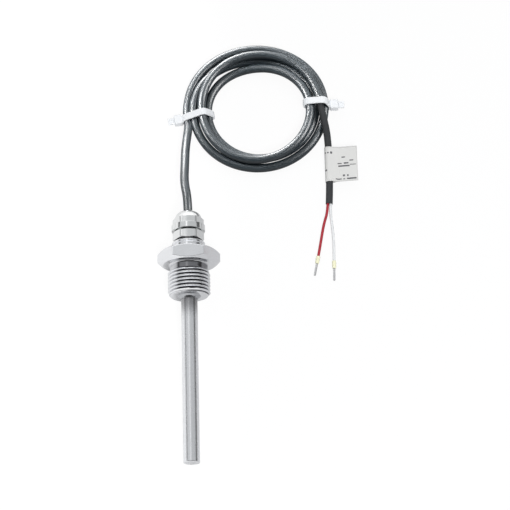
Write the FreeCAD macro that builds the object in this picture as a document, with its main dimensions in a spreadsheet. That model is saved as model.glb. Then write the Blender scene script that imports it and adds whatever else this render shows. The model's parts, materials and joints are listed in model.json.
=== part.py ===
import FreeCAD, Part
import math
import os

import Sketcher

# Immersion temperature sensor lying at rest on a table: X to the right, Y towards the cable, Z up.
# The rigid pieces are drawn along the sensor's own axis: local Z runs from the tip to the cable,
# with zero at the sealing face under the hexagon. Lengths in millimetres, angles in degrees.

DIMENSIONS = [
    # Screw fitting
    ("hex_flats", 27.0),
    ("hex_height", 7.3),
    ("hex_face_inset", 0.7),
    ("thread_dia", 20.955),
    ("thread_stub", 16.0),
    ("thread_chamfer", 1.3),
    ("thread_pitch", 1.814),
    ("thread_depth", 1.162),
    ("thread_flank_angle", 27.5),
    ("undercut_depth", 1.18),
    ("undercut_width", 3.2),
    ("undercut_fillet", 1.0),
    ("neck_wall", 2.1),
    ("neck_height", 4.6),
    ("neck_chamfer", 0.6),
    ("neck_groove_height", 1.4),
    ("neck_groove_depth", 0.35),
    ("gland_bore_room", 1.2),
    ("wrench_chamfer_angle", 30.0),
    # Protective tube, its closing plug and its weld
    ("immersion_length", 100.0),
    ("tube_dia", 8.0),
    ("tube_wall", 0.75),
    ("tube_edge", 0.4),
    ("tube_seat", 2.0),
    ("plug_height", 2.5),
    ("weld_width", 1.73),
    ("weld_depth", 1.0),
    ("weld_leg", 1.6),
    ("weld_toe", 0.3),
    ("press_clearance", 0.02),
    ("thread_clearance", 0.1),
    # Cable gland
    ("gland_thread_dia", 12.0),
    ("gland_thread_length", 5.6),
    ("gland_shoulder", 1.0),
    ("gland_face_inset", 0.35),
    ("gland_hex_height", 4.7),
    ("passage_clearance", 0.4),
    ("ring_clearance", 0.2),
    ("ring_section", 0.7),
    ("ring_height", 0.8),
    ("ring_bulge_depth", 0.3),
    ("cap_parting", 0.3),
    ("cap_wall", 2.3),
    ("cap_collar_height", 2.9),
    ("cap_hex_height", 3.7),
    ("cap_dome_height", 3.3),
    ("cap_dome_radius", 4.2),
    ("cap_lip", 1.35),
    ("cap_roof", 1.1),
    ("cap_roof_slope", 26.6),
    ("cap_shoulder", 0.7),
    ("mouth_clearance", 0.55),
    ("cage_flange_room", 0.4),
    ("cage_flange_height", 0.8),
    ("cage_finger", 0.8),
    ("cage_finger_length", 2.0),
    ("cage_finger_room", 0.3),
    ("cage_slot", 0.7),
    ("cage_slot_count", 8.0),
    ("seal_floor", 2.3),
    ("gland_clearance", 0.05),
    # Sensing element and wiring in the tube
    ("chip_width", 2.0),
    ("chip_thickness", 0.9),
    ("chip_height", 2.3),
    ("chip_gap", 1.5),
    ("chip_lead_dia", 0.25),
    ("chip_lead_inset", 0.2),
    ("chip_lead_length", 9.7),
    ("splice_dia", 1.5),
    ("splice_gap", 0.1),
    ("splice_length", 8.0),
    ("filler_height", 9.0),
    ("core_dia", 1.3),
    ("jacket_inset", 0.9),
    # Cable, coil and ties
    ("cable_dia", 4.4),
    ("lead_inset", 9.0),
    ("lead_straight", 11.0),
    ("coil_x", 35.0),
    ("coil_reach", 64.4),
    ("coil_radius", 28.0),
    ("coil_low_spread", 6.8),
    ("coil_high_inset", 0.4),
    ("coil_high_spread", 3.8),
    ("left_tie_angle", 189.0),
    ("left_tie_room", 3.0),
    ("right_tie_angle", 1.0),
    ("right_tie_room", 2.2),
    ("tie_thickness", 1.1),
    ("tie_width", 3.5),
    ("tie_clearance", 0.1),
    ("tie_head_length", 4.2),
    ("tie_head_height", 3.8),
    ("tie_head_width", 5.0),
    ("tie_tail", 3.5),
    # Sleeve, label, leads and ferrules
    ("sleeve_dia", 3.6),
    ("label_length", 18.5),
    ("label_flag", 9.8),
    ("label_taper", 2.5),
    ("label_fold", 0.6),
    ("label_crease", 0.05),
    ("label_ply", 0.15),
    ("label_clearance", 0.3),
    ("label_droop", 8.0),
    ("label_foot", 0.6),
    ("lead_dia", 1.4),
    ("lead_gap", 0.06),
    ("lead_exit", 4.6),
    ("ferrule_clearance", 0.05),
    ("collar_wall", 0.3),
    ("collar_nose", 0.2),
    ("collar_length", 4.0),
    ("collar_grip", 2.6),
    ("pin_dia", 1.1),
    ("pin_length", 6.5),
    ("pin_nose", 0.2),
    ("pin_flare", 0.1),
]

# Free cable from the gland to the coil: offsets in X and Y from the gland's mouth, height above the table.
LEAD_ROUTE = [
    (-1.8, 17.0, 15.7),
    (-1.45, 28.4, 12.4),
    (-1.2, 39.4, 8.4),
    (-0.2, 49.0, 5.2),
    (0.6, 56.0, 3.85),
]
# Sleeve from the right tie down to the table, in the same offsets.
SLEEVE_ROUTE = [
    (67.6, 64.5, 7.2),
    (69.6, 55.8, 7.3),
    (71.5, 44.4, 5.2),
    (71.6, 21.0, 2.4),
    (70.85, 9.7, 1.95),
]
# Bare-ended leads, from a short way off the sleeve's cut end to the inside of their ferrule collars.
RED_ROUTE = [
    (67.9, -0.8, 1.4),
    (66.6, -7.2, 1.15),
    (65.4, -14.0, 1.1),
    (63.9, -21.4, 1.12),
]
WHITE_ROUTE = [
    (71.9, -1.8, 1.4),
    (72.4, -9.0, 1.15),
    (72.4, -16.5, 1.1),
    (72.2, -24.2, 1.12),
]
ARC_SHARE = 0.45
THREAD_GROOVES = 5


def make_sheet(doc):
    """Spreadsheet with one alias per driving dimension."""
    sheet = doc.addObject("Spreadsheet::Sheet", "dims")
    for row, (alias, value) in enumerate(DIMENSIONS, start=1):
        sheet.set(f"A{row}", alias)
        sheet.set(f"B{row}", str(value))
        sheet.setAlias(f"B{row}", alias)
    doc.recompute()
    return sheet


# Radii across the sensor's axis and heights along it, written once as expressions of the sheet.
STRAND = "(dims.cable_dia / 2)"
TUBE_SEAT_BORE = "(dims.tube_dia / 2 + dims.press_clearance)"
TUBE_BORE = "(dims.tube_dia / 2 - dims.tube_wall)"
WELD_RIM = f"({TUBE_SEAT_BORE} + dims.weld_width)"
GLAND_THREAD = "(dims.gland_thread_dia / 2)"
GLAND_BORE = f"({GLAND_THREAD} + dims.thread_clearance)"
GLAND_FLATS = "(dims.gland_thread_dia + 2 * dims.gland_shoulder)"
GLAND_FACE = f"({GLAND_FLATS} / 2 - dims.gland_face_inset)"
GLAND_PASSAGE = f"({STRAND} + dims.passage_clearance)"
NECK = f"({GLAND_BORE} + dims.neck_wall)"
CAP_SEAT = f"({GLAND_THREAD} - dims.cap_shoulder)"
CAP_MOUTH = f"({STRAND} + dims.mouth_clearance)"
CAP_LIP = f"({CAP_MOUTH} + dims.cap_lip)"
FINGER = f"({CAP_SEAT} - dims.cage_finger_room)"
SEAL_BORE = f"({FINGER} - dims.cage_finger)"

TIP = "(0 - dims.immersion_length)"
PLUG_TOP = f"({TIP} + dims.plug_height)"
CHIP_FOOT = f"({PLUG_TOP} + dims.chip_gap)"
CHIP_TOP = f"({CHIP_FOOT} + dims.chip_height)"
SPLICE_FOOT = f"({CHIP_TOP} + dims.chip_lead_length)"
SPLICE_TOP = f"({SPLICE_FOOT} + dims.splice_length)"
STUB_END = "(0 - dims.thread_stub)"
NECK_TOP = "(dims.hex_height + dims.neck_height)"
GLAND_FOOT = f"({NECK_TOP} + dims.ring_height)"
GLAND_THREAD_END = f"({GLAND_FOOT} - dims.gland_thread_length)"
GLAND_TOP = f"({GLAND_FOOT} + dims.gland_hex_height)"
CAP_FOOT = f"({GLAND_TOP} + dims.cap_parting)"
CAP_HEX_FOOT = f"({CAP_FOOT} + dims.cap_collar_height)"
CAP_HEX_TOP = f"({CAP_HEX_FOOT} + dims.cap_hex_height)"
CAP_TOP = f"({CAP_HEX_TOP} + dims.cap_dome_height)"
CAP_ROOF = f"({CAP_TOP} - dims.cap_roof)"
CAP_EAVES = f"({CAP_ROOF} - ({CAP_SEAT} - {CAP_MOUTH}) * tan(dims.cap_roof_slope))"
FINGER_TOP = f"({CAP_EAVES} - dims.gland_clearance)"
CAGE_TOP = f"({FINGER_TOP} - dims.cage_finger_length)"
SPIGOT_TOP = f"({CAGE_TOP} - dims.cage_flange_height)"
SEAL_FLOOR = f"({GLAND_FOOT} + dims.seal_floor)"
JACKET_END = f"({GLAND_THREAD_END} + dims.jacket_inset)"
LEAD_START = f"({SEAL_FLOOR} + dims.lead_inset)"

# The coil's outermost strands: two on the table's side and two on top of them.
LOW_LAYER = f"(dims.tie_thickness + dims.tie_clearance + {STRAND})"
HIGH_LAYER = f"({LOW_LAYER} + dims.cable_dia * cos(30))"
LOW_INNER = "dims.coil_radius"
LOW_OUTER = f"({LOW_INNER} + dims.coil_low_spread)"
HIGH_INNER = f"({LOW_INNER} - dims.coil_high_inset)"
HIGH_OUTER = f"({HIGH_INNER} + dims.coil_high_spread)"

CORE_SIDE = "((dims.splice_dia + dims.splice_gap) / 2)"
CHIP_LEAD_SIDE = "(dims.chip_width / 2 - dims.chip_lead_inset)"
LABEL_SKIN = "(dims.sleeve_dia / 2 + dims.label_clearance)"
LABEL_ROOT = f"({LABEL_SKIN} + dims.label_taper)"
LEAD_SIDE = "((dims.lead_dia + dims.lead_gap) / 2)"
COLLAR_BORE = "(dims.lead_dia / 2 + dims.ferrule_clearance)"
COLLAR = f"({COLLAR_BORE} + dims.collar_wall)"
PIN = "(dims.pin_dia / 2)"
PIN_FLARE = f"({PIN} + dims.pin_flare)"
COLLAR_NOSE = f"({PIN_FLARE} + dims.collar_nose)"


def origin_feature(body, role):
    """The body's own origin plane or axis with this role."""
    return next(feature for feature in body.Origin.OriginFeatures if feature.Role == role)


def new_sketch(body, name, plane):
    sketch = body.newObject("Sketcher::SketchObject", name)
    sketch.AttachmentSupport = (origin_feature(body, plane), [""])
    sketch.MapMode = "FlatFace"
    return sketch


def bind_point(sketch, edge, end, place):
    """Hold one end of an edge at an expression in X and one in Y."""
    for kind, axis, text in (("DistanceX", -2, place[0]), ("DistanceY", -1, place[1])):
        if text == "0":
            sketch.addConstraint(Sketcher.Constraint("PointOnObject", edge, end, axis))
            continue
        value = sketch.evalExpression(text)
        index = sketch.addConstraint(Sketcher.Constraint(kind, -1, 1, edge, end, value))
        sketch.setExpression(f"Constraints[{index}]", text)


def arc_through(start, end, radius):
    """Arc from start to end; a positive radius bulges to the left of the way from start to end."""
    chord = end - start
    middle = (start + end) / 2
    half = chord.Length / 2
    rise = abs(radius) - math.sqrt(max(radius * radius - half * half, 0.0))
    left = FreeCAD.Vector(-chord.y, chord.x, 0) / chord.Length
    crest = middle + left * (rise if radius > 0 else -rise)
    return Part.Arc(start, crest, end)


def outline(sketch, corners, arcs=None):
    """Closed outline through corners given as expression pairs; arcs maps an edge to (side, radius)."""
    arcs = arcs or {}
    places = [FreeCAD.Vector(*(sketch.evalExpression(text) for text in corner), 0) for corner in corners]
    first = sketch.GeometryCount
    count = len(corners)
    starts = []
    ends = []
    for index in range(count):
        start, end = places[index], places[(index + 1) % count]
        if index not in arcs:
            sketch.addGeometry(Part.LineSegment(start, end))
            starts.append(1)
            ends.append(2)
            continue
        side, radius = arcs[index]
        edge = sketch.addGeometry(arc_through(start, end, side * sketch.evalExpression(radius)))
        near, far = (sketch.getPoint(edge, end_index).distanceToPoint(start) for end_index in (1, 2))
        starts.append(1 if near < far else 2)
        ends.append(2 if near < far else 1)
        bound = sketch.addConstraint(Sketcher.Constraint("Radius", edge, sketch.evalExpression(radius)))
        sketch.setExpression(f"Constraints[{bound}]", radius)
    for index in range(count):
        following = (index + 1) % count
        joined = (first + index, ends[index], first + following, starts[following])
        sketch.addConstraint(Sketcher.Constraint("Coincident", *joined))
    for index, corner in enumerate(corners):
        bind_point(sketch, first + index, starts[index], corner)


def belt(sketch, centres, radii):
    """Closed belt round circles: an arc on each centre and a straight tangent run between them."""
    places = [FreeCAD.Vector(*(sketch.evalExpression(text) for text in centre), 0) for centre in centres]
    sizes = [sketch.evalExpression(radius) for radius in radii]
    count = len(centres)
    leaving = []
    for index in range(count):
        following = (index + 1) % count
        run = places[following] - places[index]
        lean = math.acos((sizes[index] - sizes[following]) / run.Length)
        leaving.append(math.atan2(run.y, run.x) - lean)
    first = sketch.GeometryCount
    for index in range(count):
        start = leaving[index - 1]
        end = leaving[index] if leaving[index] > start else leaving[index] + 2 * math.pi
        circle = Part.Circle(places[index], FreeCAD.Vector(0, 0, 1), sizes[index])
        sketch.addGeometry(Part.ArcOfCircle(circle, start, end))
    for index in range(count):
        following = (index + 1) % count
        reach = FreeCAD.Vector(math.cos(leaving[index]), math.sin(leaving[index]), 0)
        start = places[index] + reach * sizes[index]
        end = places[following] + reach * sizes[following]
        sketch.addGeometry(Part.LineSegment(start, end))
    for index in range(count):
        line = first + count + index
        sketch.addConstraint(Sketcher.Constraint("Tangent", first + index, 2, line, 1))
        sketch.addConstraint(Sketcher.Constraint("Tangent", line, 2, first + (index + 1) % count, 1))
        bind_point(sketch, first + index, 3, centres[index])
        bound = sketch.addConstraint(Sketcher.Constraint("Radius", first + index, sizes[index]))
        sketch.setExpression(f"Constraints[{bound}]", radii[index])


def new_body(doc, label):
    body = doc.addObject("PartDesign::Body", label)
    body.Label = label
    return body


def turned(body, corners, arcs=None):
    """Full revolution of a profile (radius, height) about the body's Z axis."""
    sketch = new_sketch(body, f"{body.Name}_profile", "XZ_Plane")
    outline(sketch, corners, arcs)
    feature = body.newObject("PartDesign::Revolution", f"{body.Name}_turned")
    feature.Profile = sketch
    feature.ReferenceAxis = (sketch, ["V_Axis"])
    feature.Angle = 360.0
    body.Document.recompute()
    return feature


def padded(body, sketch, length):
    """Pad of a sketch, half of its length to each side."""
    pad = body.newObject("PartDesign::Pad", f"{sketch.Name}_pad")
    pad.Profile = sketch
    pad.SideType = "Symmetric"
    pad.setExpression("Length", length)
    body.Document.recompute()
    return pad


def cut_flats(body, flats, foot, height):
    """Mill six flats on a turned blank between two heights; two flats face up and down at rest."""
    before = body.Shape.Volume
    sketch = new_sketch(body, f"{body.Name}_flats", "XY_Plane")
    sketch.setExpression("AttachmentOffset.Base.z", foot)
    corner = f"{flats} / 2 / cos(30)"
    hexagon = [(f"{corner} * cos({60 * step})", f"{corner} * sin({60 * step})") for step in range(6)]
    hexagon[0] = (corner, "0")
    hexagon[3] = (f"0 - {corner}", "0")
    outline(sketch, hexagon)
    reach = sketch.evalExpression(flats)
    rim = sketch.addGeometry(Part.Circle(FreeCAD.Vector(), FreeCAD.Vector(0, 0, 1), reach))
    sketch.addConstraint(Sketcher.Constraint("Coincident", rim, 3, -1, 1))
    bound = sketch.addConstraint(Sketcher.Constraint("Radius", rim, reach))
    sketch.setExpression(f"Constraints[{bound}]", flats)
    pocket = body.newObject("PartDesign::Pocket", f"{body.Name}_flat_cut")
    pocket.Profile = sketch
    pocket.Reversed = True
    pocket.setExpression("Length", height)
    body.Document.recompute()
    if body.Shape.Volume >= before:
        raise RuntimeError(f"{body.Label}: the flats cut nothing")


def wrench_rim(flats, face, foot, top):
    """Corners of a hexagon's turned blank with a chamfer at both ends, from the foot up."""
    corner = f"{flats} / 2 / cos(30)"
    slope = f"({corner} - {face}) * tan(dims.wrench_chamfer_angle)"
    return [
        (face, foot),
        (corner, f"{foot} + {slope}"),
        (corner, f"{top} - {slope}"),
        (face, top),
    ]


def thread_grooves(crest, low, high):
    """Corners of the ring grooves that stand for the pipe thread's turns, midway between two heights."""
    pitch = f"min(dims.thread_pitch; ({high} - ({low})) / {THREAD_GROOVES})"
    root = f"{crest} - dims.thread_depth"
    flank = "dims.thread_depth * tan(dims.thread_flank_angle)"
    half_land = f"({pitch} / 2 - {flank}) / 2"
    corners = []
    for groove in range(THREAD_GROOVES):
        step = groove - (THREAD_GROOVES - 1) / 2
        middle = f"({low} + {high}) / 2 + ({step}) * {pitch}"
        corners += [
            (crest, f"{middle} - {half_land} - {flank}"),
            (root, f"{middle} - {half_land}"),
            (root, f"{middle} + {half_land}"),
            (crest, f"{middle} + {half_land} + {flank}"),
        ]
    return corners


def screw_fitting(doc):
    body = new_body(doc, "screw_fitting")
    thread = "dims.thread_dia / 2"
    thread_low = f"{STUB_END} + dims.thread_chamfer"
    thread_high = "0 - dims.undercut_width - dims.undercut_depth"
    groove_top = f"{NECK_TOP} - dims.neck_groove_height"
    groove_floor = f"{groove_top} - dims.neck_groove_depth"
    bore_floor = f"{GLAND_THREAD_END} - dims.gland_bore_room"
    corners = [
        (WELD_RIM, STUB_END),
        (f"{thread} - dims.thread_chamfer", STUB_END),
        (thread, thread_low),
        *thread_grooves(thread, thread_low, thread_high),
        (thread, thread_high),
        (f"{thread} - dims.undercut_depth", "0 - dims.undercut_width"),
        (f"{thread} - dims.undercut_depth", "0 - dims.undercut_fillet"),
        (f"{thread} - dims.undercut_depth + dims.undercut_fillet", "0"),
    ]
    fillet = len(corners) - 2
    face = "(dims.hex_flats / 2 - dims.hex_face_inset)"
    corners += wrench_rim("dims.hex_flats", face, "0", "dims.hex_height")
    corners += [
        (NECK, "dims.hex_height"),
        (NECK, f"{groove_floor} - dims.neck_groove_depth"),
        (f"{NECK} - dims.neck_groove_depth", groove_floor),
        (NECK, groove_top),
        (NECK, f"{NECK_TOP} - dims.neck_chamfer"),
        (f"{NECK} - dims.neck_chamfer", NECK_TOP),
        (GLAND_BORE, NECK_TOP),
        (GLAND_BORE, bore_floor),
        (TUBE_BORE, bore_floor),
        (TUBE_BORE, "dims.tube_seat"),
        (TUBE_SEAT_BORE, "dims.tube_seat"),
        (TUBE_SEAT_BORE, f"{STUB_END} + dims.weld_depth"),
    ]
    turned(body, corners, {fillet: (1, "dims.undercut_fillet")})
    cut_flats(body, "dims.hex_flats", "0", "dims.hex_height")
    return body


def protective_tube(doc):
    body = new_body(doc, "protective_tube")
    corners = [
        (TUBE_BORE, TIP),
        ("dims.tube_dia / 2 - dims.tube_edge", TIP),
        ("dims.tube_dia / 2", f"{TIP} + dims.tube_edge"),
        ("dims.tube_dia / 2", "dims.tube_seat"),
        (TUBE_BORE, "dims.tube_seat"),
    ]
    turned(body, corners, {1: (-1, "dims.tube_edge")})
    return body


def tube_end_plug(doc):
    body = new_body(doc, "tube_end_plug")
    radius = f"{TUBE_BORE} - dims.press_clearance"
    turned(body, [("0", TIP), (radius, TIP), (radius, PLUG_TOP), ("0", PLUG_TOP)])
    return body


def tube_weld(doc):
    """Fillet bead: it fills the countersink of the stub and climbs the tube with a hollow face."""
    body = new_body(doc, "tube_weld")
    corners = [
        (TUBE_SEAT_BORE, f"{STUB_END} + dims.weld_depth"),
        (TUBE_SEAT_BORE, f"{STUB_END} - dims.weld_leg"),
        (f"{TUBE_SEAT_BORE} + dims.weld_toe", f"{STUB_END} - dims.weld_leg"),
        (WELD_RIM, STUB_END),
    ]
    turned(body, corners, {2: (1, WELD_RIM)})
    return body


def gland_body(doc):
    body = new_body(doc, "gland_body")
    spigot = f"{GLAND_THREAD} - dims.thread_clearance"
    corners = [
        (GLAND_PASSAGE, GLAND_THREAD_END),
        (GLAND_THREAD, GLAND_THREAD_END),
        (GLAND_THREAD, GLAND_FOOT),
    ]
    corners += wrench_rim(GLAND_FLATS, GLAND_FACE, GLAND_FOOT, GLAND_TOP)
    corners += [
        (spigot, GLAND_TOP),
        (spigot, SPIGOT_TOP),
        (SEAL_BORE, SPIGOT_TOP),
        (SEAL_BORE, SEAL_FLOOR),
        (GLAND_PASSAGE, SEAL_FLOOR),
    ]
    turned(body, corners)
    cut_flats(body, GLAND_FLATS, GLAND_FOOT, "dims.gland_hex_height")
    return body


def gland_o_ring(doc):
    """Squeezed ring with a bulging rim between the fitting's neck and the gland's hexagon."""
    body = new_body(doc, "gland_o_ring")
    inner = f"{GLAND_THREAD} + dims.ring_clearance"
    outer = f"{inner} + dims.ring_section"
    corners = [(inner, NECK_TOP), (outer, NECK_TOP), (outer, GLAND_FOOT), (inner, GLAND_FOOT)]
    bulge = "(dims.ring_height ^ 2 / 4 + dims.ring_bulge_depth ^ 2) / (2 * dims.ring_bulge_depth)"
    turned(body, corners, {1: (-1, bulge)})
    return body


def gland_seal(doc):
    body = new_body(doc, "gland_seal")
    bore = f"{STRAND} + dims.gland_clearance"
    rim = f"{SEAL_BORE} - dims.gland_clearance"
    turned(body, [(bore, SEAL_FLOOR), (rim, SEAL_FLOOR), (rim, FINGER_TOP), (bore, FINGER_TOP)])
    return body


def gland_clamp_cage(doc):
    """Slotted cage: a flange on the spigot's rim and a crown of fingers round the seal."""
    body = new_body(doc, "gland_clamp_cage")
    flange = f"{GLAND_THREAD} - dims.cage_flange_room"
    corners = [
        (SEAL_BORE, SPIGOT_TOP),
        (flange, SPIGOT_TOP),
        (flange, CAGE_TOP),
        (FINGER, CAGE_TOP),
        (FINGER, FINGER_TOP),
        (SEAL_BORE, FINGER_TOP),
    ]
    turned(body, corners)
    before = body.Shape.Volume
    sketch = new_sketch(body, "cage_slot_outline", "XY_Plane")
    sketch.setExpression("AttachmentOffset.Base.z", CAGE_TOP)
    near, far = "0 - dims.cage_slot / 2", "dims.cage_slot / 2"
    outline(sketch, [("0", near), (GLAND_THREAD, near), (GLAND_THREAD, far), ("0", far)])
    slot = body.newObject("PartDesign::Pocket", "cage_slot_cut")
    slot.Profile = sketch
    slot.Reversed = True
    slot.setExpression("Length", "dims.cage_finger_length")
    doc.recompute()
    slots = body.newObject("PartDesign::PolarPattern", "cage_slots")
    slots.Originals = [slot]
    slots.Axis = (origin_feature(body, "Z_Axis"), [""])
    slots.Angle = 360.0
    slots.setExpression("Occurrences", "dims.cage_slot_count")
    body.Tip = slots
    doc.recompute()
    if body.Shape.Volume >= before:
        raise RuntimeError("gland_clamp_cage: the slots cut nothing")
    return body


def gland_cap_nut(doc):
    """Cap nut: round collar, wrench hexagon and a dome round the cable's mouth."""
    body = new_body(doc, "gland_cap_nut")
    collar = f"{GLAND_THREAD} + dims.cap_wall"
    corner = f"{GLAND_FLATS} / 2 / cos(30)"
    slope = f"({corner} - {GLAND_FACE}) * tan(dims.wrench_chamfer_angle)"
    corners = [
        (GLAND_THREAD, CAP_FOOT),
        (collar, CAP_FOOT),
        (collar, CAP_HEX_FOOT),
        (corner, CAP_HEX_FOOT),
        (corner, f"{CAP_HEX_TOP} - {slope}"),
        (GLAND_FACE, CAP_HEX_TOP),
        (CAP_LIP, CAP_TOP),
        (CAP_MOUTH, CAP_TOP),
        (CAP_MOUTH, CAP_ROOF),
        (CAP_SEAT, CAP_EAVES),
        (CAP_SEAT, CAGE_TOP),
        (GLAND_THREAD, CAGE_TOP),
    ]
    turned(body, corners, {5: (-1, "dims.cap_dome_radius")})
    cut_flats(body, GLAND_FLATS, CAP_HEX_FOOT, "dims.cap_hex_height")
    return body


def rod(doc, name, diameter, foot, height, rest, side="0"):
    """Plain cylinder along the sensor's axis, set to one side of it."""
    cylinder = doc.addObject("Part::Cylinder", name)
    cylinder.Label = name
    cylinder.setExpression("Radius", f"{diameter} / 2")
    cylinder.setExpression("Height", height)
    offset = FreeCAD.Vector(cylinder.evalExpression(side), 0, cylinder.evalExpression(foot))
    cylinder.Placement = rest.multiply(FreeCAD.Placement(offset, FreeCAD.Rotation()))
    return cylinder


def pair_of_rods(doc, name, diameter, foot, height, rest, side):
    """Two like cylinders, one on each side of the axis, as one node."""
    group = doc.addObject("Part::Compound", name)
    group.Label = name
    group.Links = [
        rod(doc, f"{name}_left", diameter, foot, height, rest, f"0 - {side}"),
        rod(doc, f"{name}_right", diameter, foot, height, rest, side),
    ]
    return group


def sensing_chip(doc, rest):
    chip = doc.addObject("Part::Box", "sensing_chip")
    chip.Label = "sensing_chip"
    chip.setExpression("Length", "dims.chip_width")
    chip.setExpression("Width", "dims.chip_thickness")
    chip.setExpression("Height", "dims.chip_height")
    corner = ("0 - dims.chip_width / 2", "0 - dims.chip_thickness / 2", CHIP_FOOT)
    offset = FreeCAD.Vector(*(chip.evalExpression(text) for text in corner))
    chip.Placement = rest.multiply(FreeCAD.Placement(offset, FreeCAD.Rotation()))
    return chip


def thermal_filler(doc, chip, leads, rest):
    """Heat-conducting compound in the tip, moulded round the chip and its two leads."""
    fill_dia = f"2 * ({TUBE_BORE} - dims.press_clearance)"
    element = doc.addObject("Part::Compound", "filler_hollow")
    element.Links = [chip, leads]
    filler = doc.addObject("Part::Cut", "thermal_filler")
    filler.Label = "thermal_filler"
    filler.Base = rod(doc, "filler_fill", fill_dia, PLUG_TOP, "dims.filler_height", rest)
    filler.Tool = element
    return filler


def wiring_in_sensor(doc, rest):
    """Sensing chip in its filler, its leads spliced to the cable's cores, and the cable's inner end."""
    chip = sensing_chip(doc, rest)
    leads = pair_of_rods(
        doc, "chip_leads", "dims.chip_lead_dia", CHIP_TOP, "dims.chip_lead_length", rest, CHIP_LEAD_SIDE
    )
    splices = pair_of_rods(
        doc, "splice_sleeves", "dims.splice_dia", SPLICE_FOOT, "dims.splice_length", rest, CORE_SIDE
    )
    pieces = [chip, leads, splices, thermal_filler(doc, chip, leads, rest)]
    for name, side in (("red_core", f"0 - {CORE_SIDE}"), ("white_core", CORE_SIDE)):
        core_length = f"{JACKET_END} - {SPLICE_TOP}"
        pieces.append(rod(doc, name, "dims.core_dia", SPLICE_TOP, core_length, rest, side))
    pieces.append(rod(doc, "cable_inlet", "dims.cable_dia", JACKET_END, f"{LEAD_START} - {JACKET_END}", rest))
    return pieces


def strand_rows(inside="0", outside="0"):
    """Centres of the coil's outermost strands; a tie has room inside the low row or outside the high one."""
    return [
        (f"{LOW_INNER} - {inside}", LOW_LAYER),
        (LOW_OUTER, LOW_LAYER),
        (f"{HIGH_OUTER} + {outside}", HIGH_LAYER),
        (HIGH_INNER, HIGH_LAYER),
    ]


def cable_coil(doc, centre):
    """Outer shape of the wound turns: a belt round the outermost strands, turned about the coil."""
    body = new_body(doc, "cable_coil")
    sketch = new_sketch(body, "coil_section", "XZ_Plane")
    strands = strand_rows()
    belt(sketch, strands, [STRAND] * len(strands))
    wound = body.newObject("PartDesign::Revolution", "coil_turned")
    wound.Profile = sketch
    wound.ReferenceAxis = (sketch, ["V_Axis"])
    wound.Angle = 360.0
    body.Placement = FreeCAD.Placement(centre, FreeCAD.Rotation())
    doc.recompute()
    return body


def cable_tie(doc, side, strands, centre):
    """Nylon tie: a strap belted round the strands, with its ratchet head and cut tail on the outside."""
    body = new_body(doc, f"cable_tie_{side}")
    inner = f"{STRAND} + dims.tie_clearance"
    loop = new_sketch(body, f"{body.Name}_loop", "XZ_Plane")
    belt(loop, strands, [f"{inner} + dims.tie_thickness"] * len(strands))
    belt(loop, strands, [inner] * len(strands))
    padded(body, loop, "dims.tie_width")
    outermost = strands[1][0]
    face = f"{outermost} + {inner} + dims.tie_thickness / 2"
    reach = f"{face} + dims.tie_head_length"
    end = f"{reach} + dims.tie_tail"
    for name, near, far, height, width in (
        ("head", face, reach, "dims.tie_head_height", "dims.tie_head_width"),
        ("tail", reach, end, "dims.tie_thickness", "dims.tie_width"),
    ):
        sketch = new_sketch(body, f"{body.Name}_{name}", "XZ_Plane")
        low = f"{LOW_LAYER} - {height} / 2"
        high = f"{LOW_LAYER} + {height} / 2"
        outline(sketch, [(near, low), (far, low), (far, high), (near, high)])
        padded(body, sketch, width)
    angle = loop.evalExpression(f"dims.{side}_tie_angle")
    body.Placement = FreeCAD.Placement(centre, FreeCAD.Rotation(FreeCAD.Vector(0, 0, 1), angle))
    return body


def route_wire(name, points):
    """Straight runs joined by tangent arcs as large as the runs allow; prints the arcs' radii."""
    edges = []
    radii = []
    start = points[0]
    for before, corner, after in zip(points, points[1:], points[2:]):
        back = before - corner
        ahead = after - corner
        setback = ARC_SHARE * min(back.Length, ahead.Length)
        turn = math.pi - back.getAngle(ahead)
        radii.append(setback / math.tan(turn / 2))
        entry = corner + back.normalize() * setback
        leave = corner + ahead.normalize() * setback
        inward = (back + ahead).normalize()
        crest = corner + inward * (radii[-1] / math.cos(turn / 2) - radii[-1])
        edges.append(Part.LineSegment(start, entry).toShape())
        edges.append(Part.Arc(entry, crest, leave).toShape())
        start = leave
    edges.append(Part.LineSegment(start, points[-1]).toShape())
    wire = Part.Wire(edges)
    print(f"{name}: length {wire.Length:.1f}, bend radii", [round(radius, 1) for radius in radii])
    return wire


def cord_tube(doc, name, points, diameter):
    """Round tube along a route, with its volume compared with section times length."""
    wire = route_wire(name, points)
    section = Part.Wire(Part.makeCircle(diameter / 2, points[0], points[1] - points[0]))
    shape = wire.makePipeShell([section], True, False)
    expected = wire.Length * math.pi * diameter ** 2 / 4
    if abs(shape.Volume / expected - 1) > 0.01:
        raise RuntimeError(f"{name}: volume {shape.Volume} instead of {expected}")
    tube = doc.addObject("Part::Feature", name)
    tube.Label = name
    tube.Shape = shape
    return tube


def trimmed(doc, name, tube, coil):
    """Tube with the stretch that lies inside the coil's outer shape taken away."""
    cut = doc.addObject("Part::Cut", name)
    cut.Label = name
    cut.Base = tube
    cut.Tool = coil
    return cut


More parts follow.
